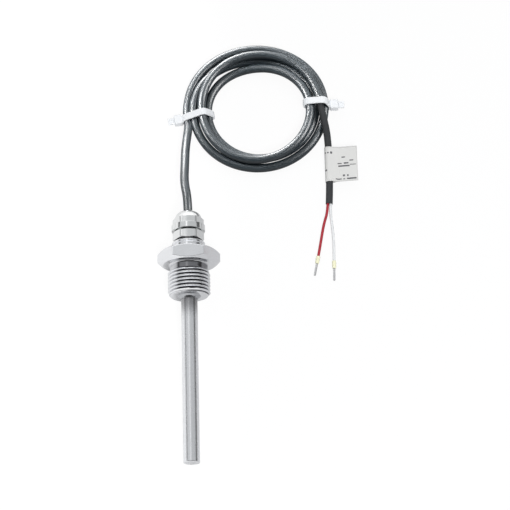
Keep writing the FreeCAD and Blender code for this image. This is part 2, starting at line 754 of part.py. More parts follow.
def label_flag(doc, route):
    """Flag label: a teardrop wrap round the sleeve and two plies stuck together beside it."""
    body = new_body(doc, "label_flag")
    wrap = new_sketch(body, "label_wrap", "XY_Plane")
    crease = f"{LABEL_ROOT} - dims.label_fold"
    belt(wrap, [("0", "0"), (LABEL_ROOT, "0")], [f"{LABEL_SKIN} + dims.label_ply", "dims.label_ply"])
    belt(wrap, [("0", "0"), (crease, "0")], [LABEL_SKIN, "dims.label_crease"])
    padded(body, wrap, "dims.label_length")
    flag = new_sketch(body, "label_plies", "XY_Plane")
    near = f"{LABEL_ROOT} - dims.label_fold / 2"
    far = f"{LABEL_ROOT} + dims.label_flag"
    under, over = "0 - dims.label_ply", "dims.label_ply"
    outline(flag, [(near, under), (far, under), (far, over), (near, over)])
    padded(body, flag, "dims.label_length")
    head, foot = route[2], route[3]
    along = (head - foot).normalize()
    across = along.cross(FreeCAD.Vector(0, 0, 1)).normalize()
    turn = FreeCAD.Rotation(across, along.cross(across), along, "ZXY")
    droop = FreeCAD.Rotation(FreeCAD.Vector(0, 0, 1), -wrap.evalExpression("dims.label_droop"))
    middle = foot + along * wrap.evalExpression("dims.label_foot + dims.label_length / 2")
    body.Placement = FreeCAD.Placement(middle, turn.multiply(droop))
    return body


def lead_exit(sleeve_route, side, run):
    """First two points of a lead: square out of the sleeve's cut end, to one side of its middle."""
    end = sleeve_route[-1]
    along = (end - sleeve_route[-2]).normalize()
    across = FreeCAD.Vector(0, 0, 1).cross(along).normalize()
    start = end + across * side
    return [start, start + along * run]


def ferrule(doc, colour, route):
    """Bootlace ferrule on a lead's end: plastic collar, and a metal pin flared where the collar holds it."""
    grip_end = "0 - dims.collar_grip"
    collar_end = "dims.collar_length - dims.collar_grip"
    collar = new_body(doc, f"{colour}_ferrule_collar")
    corners = [
        (COLLAR_BORE, grip_end),
        (COLLAR, grip_end),
        (COLLAR, "0"),
        (COLLAR_NOSE, collar_end),
        (PIN_FLARE, collar_end),
        (PIN_FLARE, "0"),
        (COLLAR_BORE, "0"),
    ]
    turned(collar, corners)
    pin = new_body(doc, f"{colour}_ferrule_pin")
    pin_end = f"{collar_end} + dims.pin_length"
    corners = [
        ("0", "0"),
        (PIN_FLARE, "0"),
        (PIN_FLARE, collar_end),
        (PIN, collar_end),
        (PIN, f"{pin_end} - dims.pin_nose"),
        (f"{PIN} - dims.pin_nose", pin_end),
        ("0", pin_end),
    ]
    turned(pin, corners)
    along = route[-1] - route[-2]
    place = FreeCAD.Placement(route[-1], FreeCAD.Rotation(FreeCAD.Vector(0, 0, 1), along))
    collar.Placement = place
    pin.Placement = place
    return [collar, pin]


def rest_placement(size):
    """Lying pose: the sensor touches the table with its hexagon's lower edge and its rounded tip."""
    flat = size("dims.hex_flats / 2")
    edge = size("dims.hex_face_inset * tan(dims.wrench_chamfer_angle)")
    tip_round = size("dims.tube_edge")
    drop = flat - size("dims.tube_dia / 2") + tip_round
    span = size("dims.immersion_length") + edge - tip_round
    tilt = math.acos(tip_round / math.hypot(drop, span)) - math.atan2(span, drop)
    height = flat * math.cos(tilt) - edge * math.sin(tilt)
    front = size("dims.immersion_length") * math.cos(tilt)
    front += size("dims.tube_dia / 2 - dims.tube_edge") * math.sin(tilt)
    back = size(CAP_TOP) * math.cos(tilt) + size(CAP_LIP) * math.sin(tilt)
    turn = FreeCAD.Rotation(FreeCAD.Vector(1, 0, 0), math.degrees(tilt) - 90)
    return FreeCAD.Placement(FreeCAD.Vector(0, (front - back) / 2, height), turn)


def build(doc):
    sheet = make_sheet(doc)
    size = sheet.evalExpression
    rest = rest_placement(size)
    mouth = rest.multVec(FreeCAD.Vector(0, 0, size(CAP_TOP)))

    def placed(route):
        return [FreeCAD.Vector(x, mouth.y + y, z) for x, y, z in route]

    along_axis = [
        screw_fitting(doc),
        protective_tube(doc),
        tube_end_plug(doc),
        tube_weld(doc),
        gland_body(doc),
        gland_o_ring(doc),
        gland_seal(doc),
        gland_clamp_cage(doc),
        gland_cap_nut(doc),
    ]
    for body in along_axis:
        body.Placement = rest

    wiring = wiring_in_sensor(doc, rest)
    coil_centre = FreeCAD.Vector(size("dims.coil_x"), mouth.y + size("dims.coil_reach"), 0)
    coil = cable_coil(doc, coil_centre)
    ties = [
        cable_tie(doc, "left", strand_rows(inside="dims.left_tie_room"), coil_centre),
        cable_tie(doc, "right", strand_rows(outside="dims.right_tie_room"), coil_centre),
    ]

    exit_run = [
        rest.multVec(FreeCAD.Vector(0, 0, size(LEAD_START))),
        rest.multVec(FreeCAD.Vector(0, 0, size(f"{LEAD_START} + dims.lead_straight"))),
    ]
    lead_tube = cord_tube(doc, "cable_lead_tube", exit_run + placed(LEAD_ROUTE), size("dims.cable_dia"))
    sleeve_route = placed(SLEEVE_ROUTE)
    sleeve_tube = cord_tube(doc, "end_sleeve_tube", sleeve_route, size("dims.sleeve_dia"))
    cords = [trimmed(doc, "cable_lead", lead_tube, coil), trimmed(doc, "end_sleeve", sleeve_tube, coil)]
    for colour, side, route in (("red", -1, RED_ROUTE), ("white", 1, WHITE_ROUTE)):
        lead_route = lead_exit(sleeve_route, side * size(LEAD_SIDE), size("dims.lead_exit"))
        lead_route += placed(route)
        cords.append(cord_tube(doc, f"{colour}_lead", lead_route, size("dims.lead_dia")))
        cords += ferrule(doc, colour, lead_route)
    label = label_flag(doc, sleeve_route)

    doc.recompute()
    return sheet, along_axis + wiring + [coil] + ties + cords + [label]


def check(doc, parts):
    for item in doc.Objects:
        if "Invalid" in item.State or "Error" in item.State:
            raise RuntimeError(f"{item.Label} failed: {item.State}")
    for part in parts:
        if part.Shape.isNull() or not part.Shape.isValid() or not part.Shape.Solids:
            raise RuntimeError(f"{part.Label} has no valid solid")


def main():
    doc = FreeCAD.newDocument("immersion_temperature_sensor")
    sheet, parts = build(doc)
    check(doc, parts)
    os.makedirs("parts", exist_ok=True)
    for part in parts:
        part.Shape.exportStep(os.path.join("parts", f"{part.Label}.step"))
        print(f"{part.Label}: {len(part.Shape.Solids)} solid(s), {part.Shape.Volume:.1f} mm3")
    print(f"{len(parts)} sub-parts driven by {sheet.Name}")


main()
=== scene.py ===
# %% [markdown]
# # Immersion temperature sensor
# A steel tube with a sensing chip in its tip is screwed into a pipe or tank by its hexagon fitting.
# A cable gland on top of the fitting holds a black cable, which lies wound up and tied, with a label
# flag and two wires with ferrules at its end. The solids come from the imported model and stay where
# they are: each piece below is a finer skin for one of them, in the same frame and in metres.

import json
import math

import bmesh
import bpy
import numpy as np
from mathutils import Matrix, Quaternion, Vector


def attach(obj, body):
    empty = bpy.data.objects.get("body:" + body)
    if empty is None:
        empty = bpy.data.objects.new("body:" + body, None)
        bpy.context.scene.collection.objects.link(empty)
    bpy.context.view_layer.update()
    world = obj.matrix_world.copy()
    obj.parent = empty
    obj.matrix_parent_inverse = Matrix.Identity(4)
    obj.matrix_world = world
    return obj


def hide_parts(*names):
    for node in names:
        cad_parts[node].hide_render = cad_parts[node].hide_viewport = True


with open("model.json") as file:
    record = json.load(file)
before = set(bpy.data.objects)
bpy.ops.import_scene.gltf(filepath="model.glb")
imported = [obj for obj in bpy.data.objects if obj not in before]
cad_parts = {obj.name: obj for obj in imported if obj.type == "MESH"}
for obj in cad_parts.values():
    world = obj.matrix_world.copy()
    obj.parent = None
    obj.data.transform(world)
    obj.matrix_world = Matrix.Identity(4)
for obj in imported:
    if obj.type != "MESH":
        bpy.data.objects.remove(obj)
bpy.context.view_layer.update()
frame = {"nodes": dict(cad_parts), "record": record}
MM = 0.001
print(len(frame["nodes"]), "solids loaded")

# %% [markdown]
# ## The sensor's own axis
# Most rigid pieces are turned parts, so they are drawn round one axis and set down in the lying pose
# at the end. The axis could be typed in again, but the record already holds it: the sealing face under
# the hexagon is a mount, and its direction points at the tip. Zero height is that face.

# %% Axis of the turned pieces
mounts = {mount["name"]: mount for mount in frame["record"]["mounts"]}
along = -Vector(mounts["sealing_face"]["axis"]).normalized()
across = Vector((1, 0, 0))
below = along.cross(across)
seal_centre = Vector(mounts["sealing_face"]["pos_m"])
seal_centre.x = 0
SENSOR = Matrix.Translation(seal_centre) @ Matrix((across, below, along)).transposed().to_4x4()
CAP_TOP = 27.6
gland_mouth = SENSOR @ Vector((0, 0, CAP_TOP * MM))
print("gland mouth at", [round(value, 4) for value in gland_mouth])

# %% [markdown]
# ## Camera
# The picture was taken from above, with a long lens: the tube's sides stay almost parallel. The camera
# stands 66 degrees above the table, and a slight roll matches the sensor's lean in the frame.

# %% Camera
CAMERA_ELEVATION = math.radians(66)
CAMERA_DISTANCE = 1.2
CAMERA_LENS = 169.85
CAMERA_SENSOR = 36
CAMERA_ROLL = -0.0241
CAMERA_TARGET = Vector((0.0328, 0.0446, 0.005))

camera_data = bpy.data.cameras.new("camera")
camera_data.lens = CAMERA_LENS
camera_data.sensor_width = CAMERA_SENSOR
camera = bpy.data.objects.new("camera", camera_data)
bpy.context.scene.collection.objects.link(camera)
bpy.context.scene.camera = camera
towards_camera = Vector((0, -math.cos(CAMERA_ELEVATION), math.sin(CAMERA_ELEVATION)))
camera.location = CAMERA_TARGET + towards_camera * CAMERA_DISTANCE
camera.rotation_mode = "QUATERNION"
aim = (-towards_camera).to_track_quat("-Z", "Y")
camera.rotation_quaternion = aim @ Quaternion((0, 0, 1), CAMERA_ROLL)
bpy.context.scene.view_settings.view_transform = "Standard"
print("camera at", [round(value, 3) for value in camera.location])

# %% [markdown]
# ## Cords
# The cable is one length from the gland to the right-hand tie. Its free stretch follows a route of listed
# points, and a NURBS curve draws a smooth line near them. A Bezier curve would do as well, but its
# handles are harder to keep free of kinks. The coil is more points of the same curve: the radius at each
# quarter turn says how the loose turns fan out, and every turn that lies over an earlier one is lifted by
# as much as two round strands need.

# %% Routes
CABLE_DIA = 4.4
SLEEVE_DIA = 3.6
LEAD_DIA = 1.4
AXIS_POINTS = (24.0, 35.0)
LEAD_ROUTE = [
    (-1.8, 17.0, 15.7),
    (-1.45, 28.4, 12.4),
    (-1.2, 39.4, 8.4),
    (-0.2, 49.0, 5.2),
    (0.6, 56.0, 3.85),
]
SLEEVE_ROUTE = [
    (67.6, 64.5, 7.2),
    (69.6, 55.8, 7.3),
    (71.5, 44.4, 5.2),
    (71.6, 21.0, 2.4),
    (70.85, 9.7, 1.95),
]
RED_ROUTE = [
    (67.9, -0.8, 1.4),
    (66.6, -7.2, 1.15),
    (65.4, -14.0, 1.1),
    (63.9, -21.4, 1.12),
]
WHITE_ROUTE = [
    (71.9, -1.8, 1.4),
    (72.4, -9.0, 1.15),
    (72.4, -16.5, 1.1),
    (72.2, -24.2, 1.12),
]


def placed(route):
    """Points of a route, from offsets to the gland's mouth in X and Y and heights above the table."""
    return [Vector((x * MM, gland_mouth.y + y * MM, z * MM)) for x, y, z in route]


# %% Turns of the coil
COIL_X = 35.0
COIL_REACH = 64.4
FIRST_ANGLE = 181.0
QUARTER_RADII = [
    35.0, 34.5, 35.3, 33.9,
    32.0, 27.4, 30.7, 28.5,
    24.6, 23.0, 27.6, 31.0,
    27.6, 29.2, 33.0,
]
STEPS = 4
TABLE_HEIGHT = 2.25
TIE_LIFT = 1.15
TIE_LINE = 5.0


def eased(values, place):
    """Value between the stations of a list, on a smooth curve through them."""
    left = min(int(place), len(values) - 2)
    share = place - left
    p0, p1, p2, p3 = (values[min(max(left + step, 0), len(values) - 1)] for step in (-1, 0, 1, 2))
    bend = 2 * p0 - 5 * p1 + 4 * p2 - p3
    twist = -p0 + 3 * p1 - 3 * p2 + p3
    return 0.5 * (2 * p1 + (p2 - p0) * share + bend * share ** 2 + twist * share ** 3)


def coil_stations():
    """Angle, radius and height of the strand at each step, lifted over the turns below it."""
    turn = 4 * STEPS
    stations = []
    for step in range((len(QUARTER_RADII) - 1) * STEPS + 1):
        angle = math.radians(FIRST_ANGLE - 90 * step / STEPS)
        radius = eased(QUARTER_RADII, step / STEPS)
        height = TABLE_HEIGHT + TIE_LIFT * math.cos(angle - math.radians(TIE_LINE)) ** 2
        for under in range(step - turn, -1, -turn):
            side = abs(radius - stations[under][1])
            if side < CABLE_DIA:
                height = max(height, stations[under][2] + math.sqrt(CABLE_DIA ** 2 - side ** 2))
        stations.append((angle, radius, height))
    return stations


def coil_points(stations):
    """Control points of the turns, a little outside the strand because the curve cuts its corners."""
    lift = 1 / math.cos(math.pi / (4 * STEPS))
    points = []
    for before, here, after in zip(stations[:1] + stations, stations, stations[1:] + stations[-1:]):
        angle, radius, height = here
        height = (before[2] + 2 * height + after[2]) / 4
        x = COIL_X + radius * lift * math.cos(angle)
        y = COIL_REACH + radius * lift * math.sin(angle)
        points.append((x, y, height))
    return placed(points)


stations = coil_stations()
print(len(stations), "stations over", (len(QUARTER_RADII) - 1) / 4, "turns")


# %% Curves
def cord_curve(name, points, diameter):
    """Round cord along one NURBS spline whose control points are the route."""
    curve = bpy.data.curves.new(name, "CURVE")
    curve.dimensions = "3D"
    curve.bevel_depth = diameter / 2 * MM
    curve.bevel_resolution = 7
    curve.resolution_u = 8
    curve.use_fill_caps = True
    spline = curve.splines.new("NURBS")
    spline.points.add(len(points) - 1)
    for knot, place in zip(spline.points, points):
        knot.co = (*place, 1)
    spline.order_u = 3
    spline.use_endpoint_u = True
    piece = bpy.data.objects.new(name, curve)
    bpy.context.scene.collection.objects.link(piece)
    return piece


def lead_exit(route, side, run):
    """First two points of a lead: square out of the sleeve's cut end, to one side of its middle."""
    end = route[-1]
    way = (end - route[-2]).normalized()
    start = end + Vector((0, 0, 1)).cross(way).normalized() * side * MM
    return [start, start + way * run * MM]


LEAD_SIDE = 0.73
LEAD_EXIT = 4.6
axis_run = [SENSOR @ Vector((0, 0, height * MM)) for height in AXIS_POINTS]
cable_route = axis_run + placed(LEAD_ROUTE) + coil_points(stations)
sleeve_route = cable_route[-1:] + placed(SLEEVE_ROUTE)
red_route = lead_exit(sleeve_route, -LEAD_SIDE, LEAD_EXIT) + placed(RED_ROUTE)
white_route = lead_exit(sleeve_route, LEAD_SIDE, LEAD_EXIT) + placed(WHITE_ROUTE)
cable = cord_curve("cable", cable_route, CABLE_DIA)
sleeve = cord_curve("end_sleeve_skin", sleeve_route, SLEEVE_DIA)
red_lead = cord_curve("red_lead_skin", red_route, LEAD_DIA)
white_lead = cord_curve("white_lead_skin", white_route, LEAD_DIA)
print("cable has", len(cable_route), "control points")

# %% [markdown]
# ## Floor, studio and lamps
# The sensor lies on a white table that runs on as a backdrop. For rays from the camera the floor glows
# almost white and keeps a part of its own shading, so that the shadow stays. Mirrored and refracted rays
# get a smaller share of the glow. The table's right side carries painted shade, for the right-hand facets
# to mirror.
#
# Metal shows what stands round it. Screens and black flags could be set up as objects, but the side views
# would show them too. So the studio is painted into the world by direction: a white skirting, a grey
# ceiling with a bright strip, a dark front with a bright strip low down, a white back wall with a lamp,
# and a dark seam on either side, which draws the fine dark lines along the tube.
#
# One lamp in front lights everything and is hidden from mirrors. Three smaller ones draw the bright lines
# on the cable. They are linked to the cable alone, because their light would clip on the pale pieces.


# %% Node helpers
def add_node(tree, kind, settings=None, inputs=None):
    """New node with its settings; an input takes a value, or a link from another node's output."""
    made = tree.nodes.new(kind)
    for key, value in (settings or {}).items():
        setattr(made, key, value)
    for key, value in (inputs or {}).items():
        socket = made.inputs[key]
        if isinstance(value, bpy.types.NodeSocket):
            tree.links.new(value, socket)
        else:
            socket.default_value = value
    return made


def math_node(tree, operation, *values):
    """Output of a math node on one to three values or sockets."""
    return add_node(tree, "ShaderNodeMath", {"operation": operation}, dict(enumerate(values))).outputs[0]


def split(tree, vector):
    """X, Y and Z of a vector."""
    return add_node(tree, "ShaderNodeSeparateXYZ", inputs={"Vector": vector}).outputs


def mix_colour(tree, share, first, second):
    """Blend of two colours, each a value or a socket."""
    inputs = {"Factor": share, "A": first, "B": second}
    return add_node(tree, "ShaderNodeMix", {"data_type": "RGBA"}, inputs).outputs["Result"]


def smooth_step(tree, value, low, high):
    """0 below low, 1 above high, and a soft way between."""
    settings = {"interpolation_type": "SMOOTHSTEP"}
    inputs = {"Value": value, "From Min": low, "From Max": high}
    return add_node(tree, "ShaderNodeMapRange", settings, inputs).outputs["Result"]


# %% Floor
WHITE = (1, 1, 1, 1)
FLOOR_SIZE = 6.0
GLOW_STRENGTH = 1.07
CAMERA_GLOW = 0.86
MIRROR_GLOW = 0.15
# The table's right side gets painted shade, which the fitting's right-hand facets mirror
TABLE_LEFT = (0.84, 0.84, 0.84, 1)
TABLE_RIGHT_PAINTED_SHADE = (0.50, 0.50, 0.51, 1)
TABLE_FADE = 0.03


def glow_share(tree):
    """How much of the floor glows: most for rays from the camera, less for mirrored or refracted ones."""
    path = add_node(tree, "ShaderNodeLightPath").outputs
    mirrored = math_node(tree, "MAXIMUM", path["Is Glossy Ray"], path["Is Transmission Ray"])
    direct = math_node(tree, "MULTIPLY", path["Is Camera Ray"], CAMERA_GLOW)
    return math_node(tree, "MAXIMUM", direct, math_node(tree, "MULTIPLY", mirrored, MIRROR_GLOW))


def floor_material():
    """Paint of the table, with painted shade on its right for the facets to mirror, under the glow that makes
    the backdrop white.
    """
    material = bpy.data.materials.new("white_table")
    material.use_nodes = True
    tree = material.node_tree
    tree.nodes.clear()
    coordinates = add_node(tree, "ShaderNodeTexCoord").outputs["Object"]
    side = smooth_step(tree, split(tree, coordinates)["X"], -TABLE_FADE, TABLE_FADE)
    tint = mix_colour(tree, side, TABLE_LEFT, TABLE_RIGHT_PAINTED_SHADE)
    paint = add_node(tree, "ShaderNodeBsdfDiffuse", inputs={"Color": tint})
    glow = add_node(tree, "ShaderNodeEmission", inputs={"Color": WHITE, "Strength": GLOW_STRENGTH})
    mix = add_node(tree, "ShaderNodeMixShader", inputs={
        0: glow_share(tree), 1: paint.outputs[0], 2: glow.outputs[0]})
    add_node(tree, "ShaderNodeOutputMaterial", inputs={"Surface": mix.outputs[0]})
    return material


floor_mesh = bpy.data.meshes.new("floor")
half = FLOOR_SIZE / 2
floor_corners = [(-half, -half, 0), (half, -half, 0), (half, half, 0), (-half, half, 0)]
floor_mesh.from_pydata(floor_corners, [], [(0, 1, 2, 3)])
floor_mesh.materials.append(floor_material())
floor = bpy.data.objects.new("floor", floor_mesh)
bpy.context.scene.collection.objects.link(floor)
print("floor", FLOOR_SIZE, "m wide")

# %% World
SKIRTING_TOP = (0.15, 0.38)
CEILING_LEFT = (0.69, 0.70, 0.71, 1)
CEILING_RIGHT = (0.57, 0.58, 0.59, 1)
CEILING_TURN = 0.35
# Name, shade and limits of each zone: a component of the direction, its value outside and its value inside
STUDIO_ZONES = [
    ("left seam", 0.10, [("X", -0.40, -0.62), ("Z", 0.30, 0.38), ("Z", 0.58, 0.48)]),
    ("right seam", 0.12, [("X", 0.55, 0.75), ("Z", 0.01, 0.09), ("Z", 0.54, 0.42)]),
    ("ceiling strip", 1.15, [("X", -0.06, -0.12), ("X", -0.30, -0.20), ("Z", 0.80, 0.88)]),
    ("dark front", 0.03, [("Y", 0.06, -0.14), ("Z", 0.34, 0.46)]),
    ("front strip", 1.0, [("Y", -0.60, -0.80), ("Z", 0.42, 0.32)]),
    ("back wall", 1.1, [("Y", 0.48, 0.66)]),
    ("back lamp", 2.1, [("Y", 0.52, 0.64), ("Z", 0.50, 0.60)]),
]


def zone(tree, direction, limits):
    """Mask of a part of the studio: each limit is a component of the direction and its values for 0 and 1."""
    mask = None
    for component, low, high in limits:
        step = smooth_step(tree, direction[component], low, high)
        mask = step if mask is None else math_node(tree, "MULTIPLY", mask, step)
    return mask


def studio_world():
    """White for the camera; for light and mirrors a room whose zones are painted over one another in turn."""
    world = bpy.data.worlds.new("studio")
    world.use_nodes = True
    tree = world.node_tree
    tree.nodes.clear()
    direction = split(tree, add_node(tree, "ShaderNodeTexCoord").outputs["Generated"])
    side = smooth_step(tree, direction["X"], -CEILING_TURN, CEILING_TURN)
    ceiling = mix_colour(tree, side, CEILING_LEFT, CEILING_RIGHT)
    paint = mix_colour(tree, smooth_step(tree, direction["Z"], *SKIRTING_TOP), WHITE, ceiling)
    for _, shade, limits in STUDIO_ZONES:
        paint = mix_colour(tree, zone(tree, direction, limits), paint, (shade, shade, shade, 1))
    studio = add_node(tree, "ShaderNodeBackground", inputs={"Color": paint, "Strength": 1.0})
    white = add_node(tree, "ShaderNodeBackground", inputs={"Color": WHITE, "Strength": 1.0})
    camera_ray = add_node(tree, "ShaderNodeLightPath").outputs["Is Camera Ray"]
    mix = add_node(tree, "ShaderNodeMixShader", inputs={
        0: camera_ray, 1: studio.outputs[0], 2: white.outputs[0]})
    add_node(tree, "ShaderNodeOutputWorld", inputs={"Surface": mix.outputs[0]})
    return world


bpy.context.scene.world = studio_world()
print("studio with", ", ".join(name for name, _, _ in STUDIO_ZONES))

# %% Lamps
# Name, place, target, side in metres, power in watts, spread in degrees
LAMPS = [
    ("left_softbox", (-0.19, 0.27, 0.165), (-0.005, 0.175, 0), 0.17, 0.37, 26),
    ("right_softbox", (0.29, 0.14, 0.19), (0.05, 0.10, 0), 0.20, 0.30, 40),
    ("back_softbox", (-0.10, 0.54, 0.11), (0.005, 0.165, 0), 0.24, 0.58, 40),
    ("front_softbox", (0.25, -0.75, 1.10), (0.05, 0.06, 0), 0.50, 14.0, 180),
]


def softbox(name, place, target, side, power, spread):
    """Square lamp of that side, turned to a target; a small spread keeps its light near its axis."""
    lamp = bpy.data.lights.new(name, "AREA")
    lamp.shape = "SQUARE"
    lamp.size = side
    lamp.energy = power
    lamp.spread = math.radians(spread)
    held = bpy.data.objects.new(name, lamp)
    held.location = place
    held.rotation_mode = "QUATERNION"
    held.rotation_quaternion = (Vector(target) - Vector(place)).to_track_quat("-Z", "Y")
    held.visible_camera = False
    bpy.context.scene.collection.objects.link(held)
    return held


*coil_lamps, front_softbox = [softbox(*lamp) for lamp in LAMPS]
front_softbox.visible_glossy = False
cable_only = bpy.data.collections.new("cable_only")
cable_only.objects.link(cable)
for lamp in coil_lamps:
    lamp.light_linking.receiver_collection = cable_only
print(len(LAMPS), "softboxes")

# %% [markdown]
# ## Finishes
# Real surfaces are never one flat colour. Two shader groups give the small variation: grain for moulded
# plastics, and fine lines for metal that was turned or drawn. The lines could be modelled, but they are
# hundredths of a millimetre deep, so they stay a bump. The groups only put out values that change over
# the surface, and each material keeps its own shader. Two colours change along the piece: the fitting's
# steel gets painted shade in its grooves, and the tube is tinted by the heat of welding towards the stub.


# %% Shader groups
def shader_group(name, inputs, outputs):
    """Empty node group with float or vector sockets, and its input and output nodes."""
    tree = bpy.data.node_groups.new(name, "ShaderNodeTree")
    for label, kind, value in inputs:
        socket = tree.interface.new_socket(label, in_out="INPUT", socket_type=kind)
        if value is not None:
            socket.default_value = value
    for label in outputs:
        tree.interface.new_socket(label, in_out="OUTPUT", socket_type="NodeSocketFloat")
    return tree, add_node(tree, "NodeGroupInput").outputs, add_node(tree, "NodeGroupOutput").inputs


def moulded_grain():
    """Soft mottling and a fine pebble on moulded or extruded plastic."""
    tree, given, result = shader_group("moulded_grain", [
        ("Vector", "NodeSocketVector", None),
        ("Fine scale", "NodeSocketFloat", 2500.0),
        ("Broad scale", "NodeSocketFloat", 90.0),
        ("Roughness", "NodeSocketFloat", 0.4),
        ("Spread", "NodeSocketFloat", 0.1),
    ], ("Roughness", "Tint", "Height"))
    fine = add_node(tree, "ShaderNodeTexNoise", inputs={
        "Vector": given["Vector"], "Scale": given["Fine scale"], "Detail": 3.0})
    broad = add_node(tree, "ShaderNodeTexNoise", inputs={
        "Vector": given["Vector"], "Scale": given["Broad scale"], "Detail": 4.0})
    swing = math_node(tree, "SUBTRACT", broad.outputs["Fac"], 0.5)
    rough = math_node(tree, "MULTIPLY_ADD", swing, given["Spread"], given["Roughness"])
    tree.links.new(rough, result["Roughness"])
    tree.links.new(broad.outputs["Fac"], result["Tint"])
    tree.links.new(fine.outputs["Fac"], result["Height"])
    return tree


def machined_lines():
    """Fine lines that run one way, in the sensor's own axes, with a broad cloud over them."""
    tree, given, result = shader_group("machined_lines", [
        ("Vector", "NodeSocketVector", None),
        ("Stretch", "NodeSocketVector", (60.0, 60.0, 6000.0)),
        ("Roughness", "NodeSocketFloat", 0.2),
        ("Spread", "NodeSocketFloat", 0.1),
    ], ("Roughness", "Tint", "Height"))
    drawn = add_node(tree, "ShaderNodeVectorMath", {"operation": "MULTIPLY"}, {
        0: given["Vector"], 1: given["Stretch"]})
    lines = add_node(tree, "ShaderNodeTexNoise", inputs={
        "Vector": drawn.outputs["Vector"], "Scale": 1.0, "Detail": 4.0, "Roughness": 0.7})
    cloud = add_node(tree, "ShaderNodeTexNoise", inputs={
        "Vector": given["Vector"], "Scale": 120.0, "Detail": 5.0})
    both = math_node(tree, "MULTIPLY", lines.outputs["Fac"], cloud.outputs["Fac"])
    swing = math_node(tree, "SUBTRACT", both, 0.25)
    rough = math_node(tree, "MULTIPLY_ADD", swing, given["Spread"], given["Roughness"])
    tree.links.new(rough, result["Roughness"])
    tree.links.new(cloud.outputs["Fac"], result["Tint"])
    tree.links.new(lines.outputs["Fac"], result["Height"])
    return tree


GRAIN = moulded_grain()
LINES = machined_lines()
print("shader groups:", GRAIN.name, LINES.name)

# %% Materials from the groups
TILT = SENSOR.to_euler().x
PLASTIC_SPREAD = 0.12
# Painted shade darkens the grooves between two shares of their depth, less on the left, where light reaches
# into them
GROOVE_PAINTED_SHADE = (0.06, 0.06, 0.07)
GROOVE_DEPTHS = (0.5, 0.95)
GROOVE_SIDES = (-7.5, -4.5)
LEFT_SHADE_SHARE = 0.4


def start_material(name):
    """New material with its tree and its surface shader."""
    material = bpy.data.materials.new(name)
    material.use_nodes = True
    tree = material.node_tree
    return material, tree, tree.nodes["Principled BSDF"]


def put_finish(tree, surface, group, colours, bump):
    """Wire a group's roughness, tint and height to a surface, with its two colours."""
    colour = mix_colour(tree, group.outputs["Tint"], (*colours[0], 1), (*colours[1], 1))
    relief = add_node(tree, "ShaderNodeBump", inputs={
        "Height": group.outputs["Height"], "Strength": bump[0], "Distance": bump[1] * MM})
    tree.links.new(colour, surface.inputs["Base Color"])
    tree.links.new(group.outputs["Roughness"], surface.inputs["Roughness"])
    tree.links.new(relief.outputs["Normal"], surface.inputs["Normal"])


def plastic(name, colours, roughness, bump=(0.25, 0.02)):
    """Moulded plastic or rubber between two close colours."""
    material, tree, surface = start_material(name)
    coordinates = add_node(tree, "ShaderNodeTexCoord").outputs["Object"]
    grain = add_node(tree, "ShaderNodeGroup", {"node_tree": GRAIN}, {
        "Vector": coordinates, "Roughness": roughness, "Spread": PLASTIC_SPREAD})
    put_finish(tree, surface, grain, colours, bump)
    return material


def darken(tree, surface, mask, colour):
    """Lay a darker colour over a surface where a mask says so."""
    under = surface.inputs["Base Color"].links[0].from_socket
    tree.links.new(mix_colour(tree, mask, under, (*colour, 1)), surface.inputs["Base Color"])


def metal(name, colours, roughness, spread, stretch, bump, heat=None):
    """Metal with lines in the sensor's axes: the mapping turns the lying pose back upright."""
    material, tree, surface = start_material(name)
    coordinates = add_node(tree, "ShaderNodeTexCoord").outputs["Object"]
    upright = add_node(tree, "ShaderNodeMapping", {"vector_type": "TEXTURE"}, {
        "Vector": coordinates, "Location": tuple(seal_centre), "Rotation": (TILT, 0, 0)}).outputs["Vector"]
    lines = add_node(tree, "ShaderNodeGroup", {"node_tree": LINES}, {
        "Vector": upright, "Stretch": stretch, "Roughness": roughness, "Spread": spread})
    put_finish(tree, surface, lines, colours, bump)
    surface.inputs["Metallic"].default_value = 1.0
    if heat:
        low, high, colour = heat
        darken(tree, surface, smooth_step(tree, split(tree, upright)["Z"], low * MM, high * MM), colour)
    return material


def paint_groove_shade(material):
    """Paint shade into the thread's roots and the undercut, by the mask that the thread cutter stores."""
    tree = material.node_tree
    depth = add_node(tree, "ShaderNodeAttribute", {"attribute_name": "groove"}).outputs["Fac"]
    x = split(tree, tree.nodes["Mapping"].outputs["Vector"])["X"]
    # The painted shade is weaker on the left, where the light reaches into the grooves
    right = smooth_step(tree, x, *(side * MM for side in GROOVE_SIDES))
    share = math_node(tree, "MULTIPLY_ADD", right, 1 - LEFT_SHADE_SHARE, LEFT_SHADE_SHARE)
    mask = math_node(tree, "MULTIPLY", smooth_step(tree, depth, *GROOVE_DEPTHS), share)
    darken(tree, tree.nodes["Principled BSDF"], mask, GROOVE_PAINTED_SHADE)


# %% Metals
TURNED = (40.0, 40.0, 5000.0)
DRAWN = (3500.0, 3500.0, 25.0)
WELD_HEAT = (-29.0, -19.0, (0.36, 0.36, 0.37))
# Name, two colours, roughness and its spread, run of the lines, strength and depth of the bump
FITTING_STEEL = metal(
    "fitting_steel", ((0.81, 0.82, 0.84), (0.87, 0.88, 0.90)), 0.17, 0.16, TURNED, (0.10, 0.01))
paint_groove_shade(FITTING_STEEL)
TUBE_STEEL = metal(
    "tube_steel", ((0.80, 0.81, 0.83), (0.87, 0.88, 0.90)), 0.27, 0.25, DRAWN, (0.12, 0.01), WELD_HEAT)
WELD_STEEL = metal(
    "weld_steel", ((0.36, 0.37, 0.39), (0.58, 0.59, 0.61)), 0.24, 0.25, TURNED, (0.25, 0.02))
GLAND_NICKEL = metal(
    "gland_nickel", ((0.80, 0.81, 0.81), (0.86, 0.87, 0.87)), 0.13, 0.14, TURNED, (0.05, 0.01))
PIN_TIN = metal(
    "pin_tin", ((0.74, 0.74, 0.75), (0.84, 0.84, 0.85)), 0.32, 0.2, DRAWN, (0.2, 0.01))
BARE_WIRE = metal(
    "bare_wire", ((0.62, 0.62, 0.63), (0.74, 0.73, 0.72)), 0.28, 0.2, DRAWN, (0.2, 0.01))
print("metals ready")

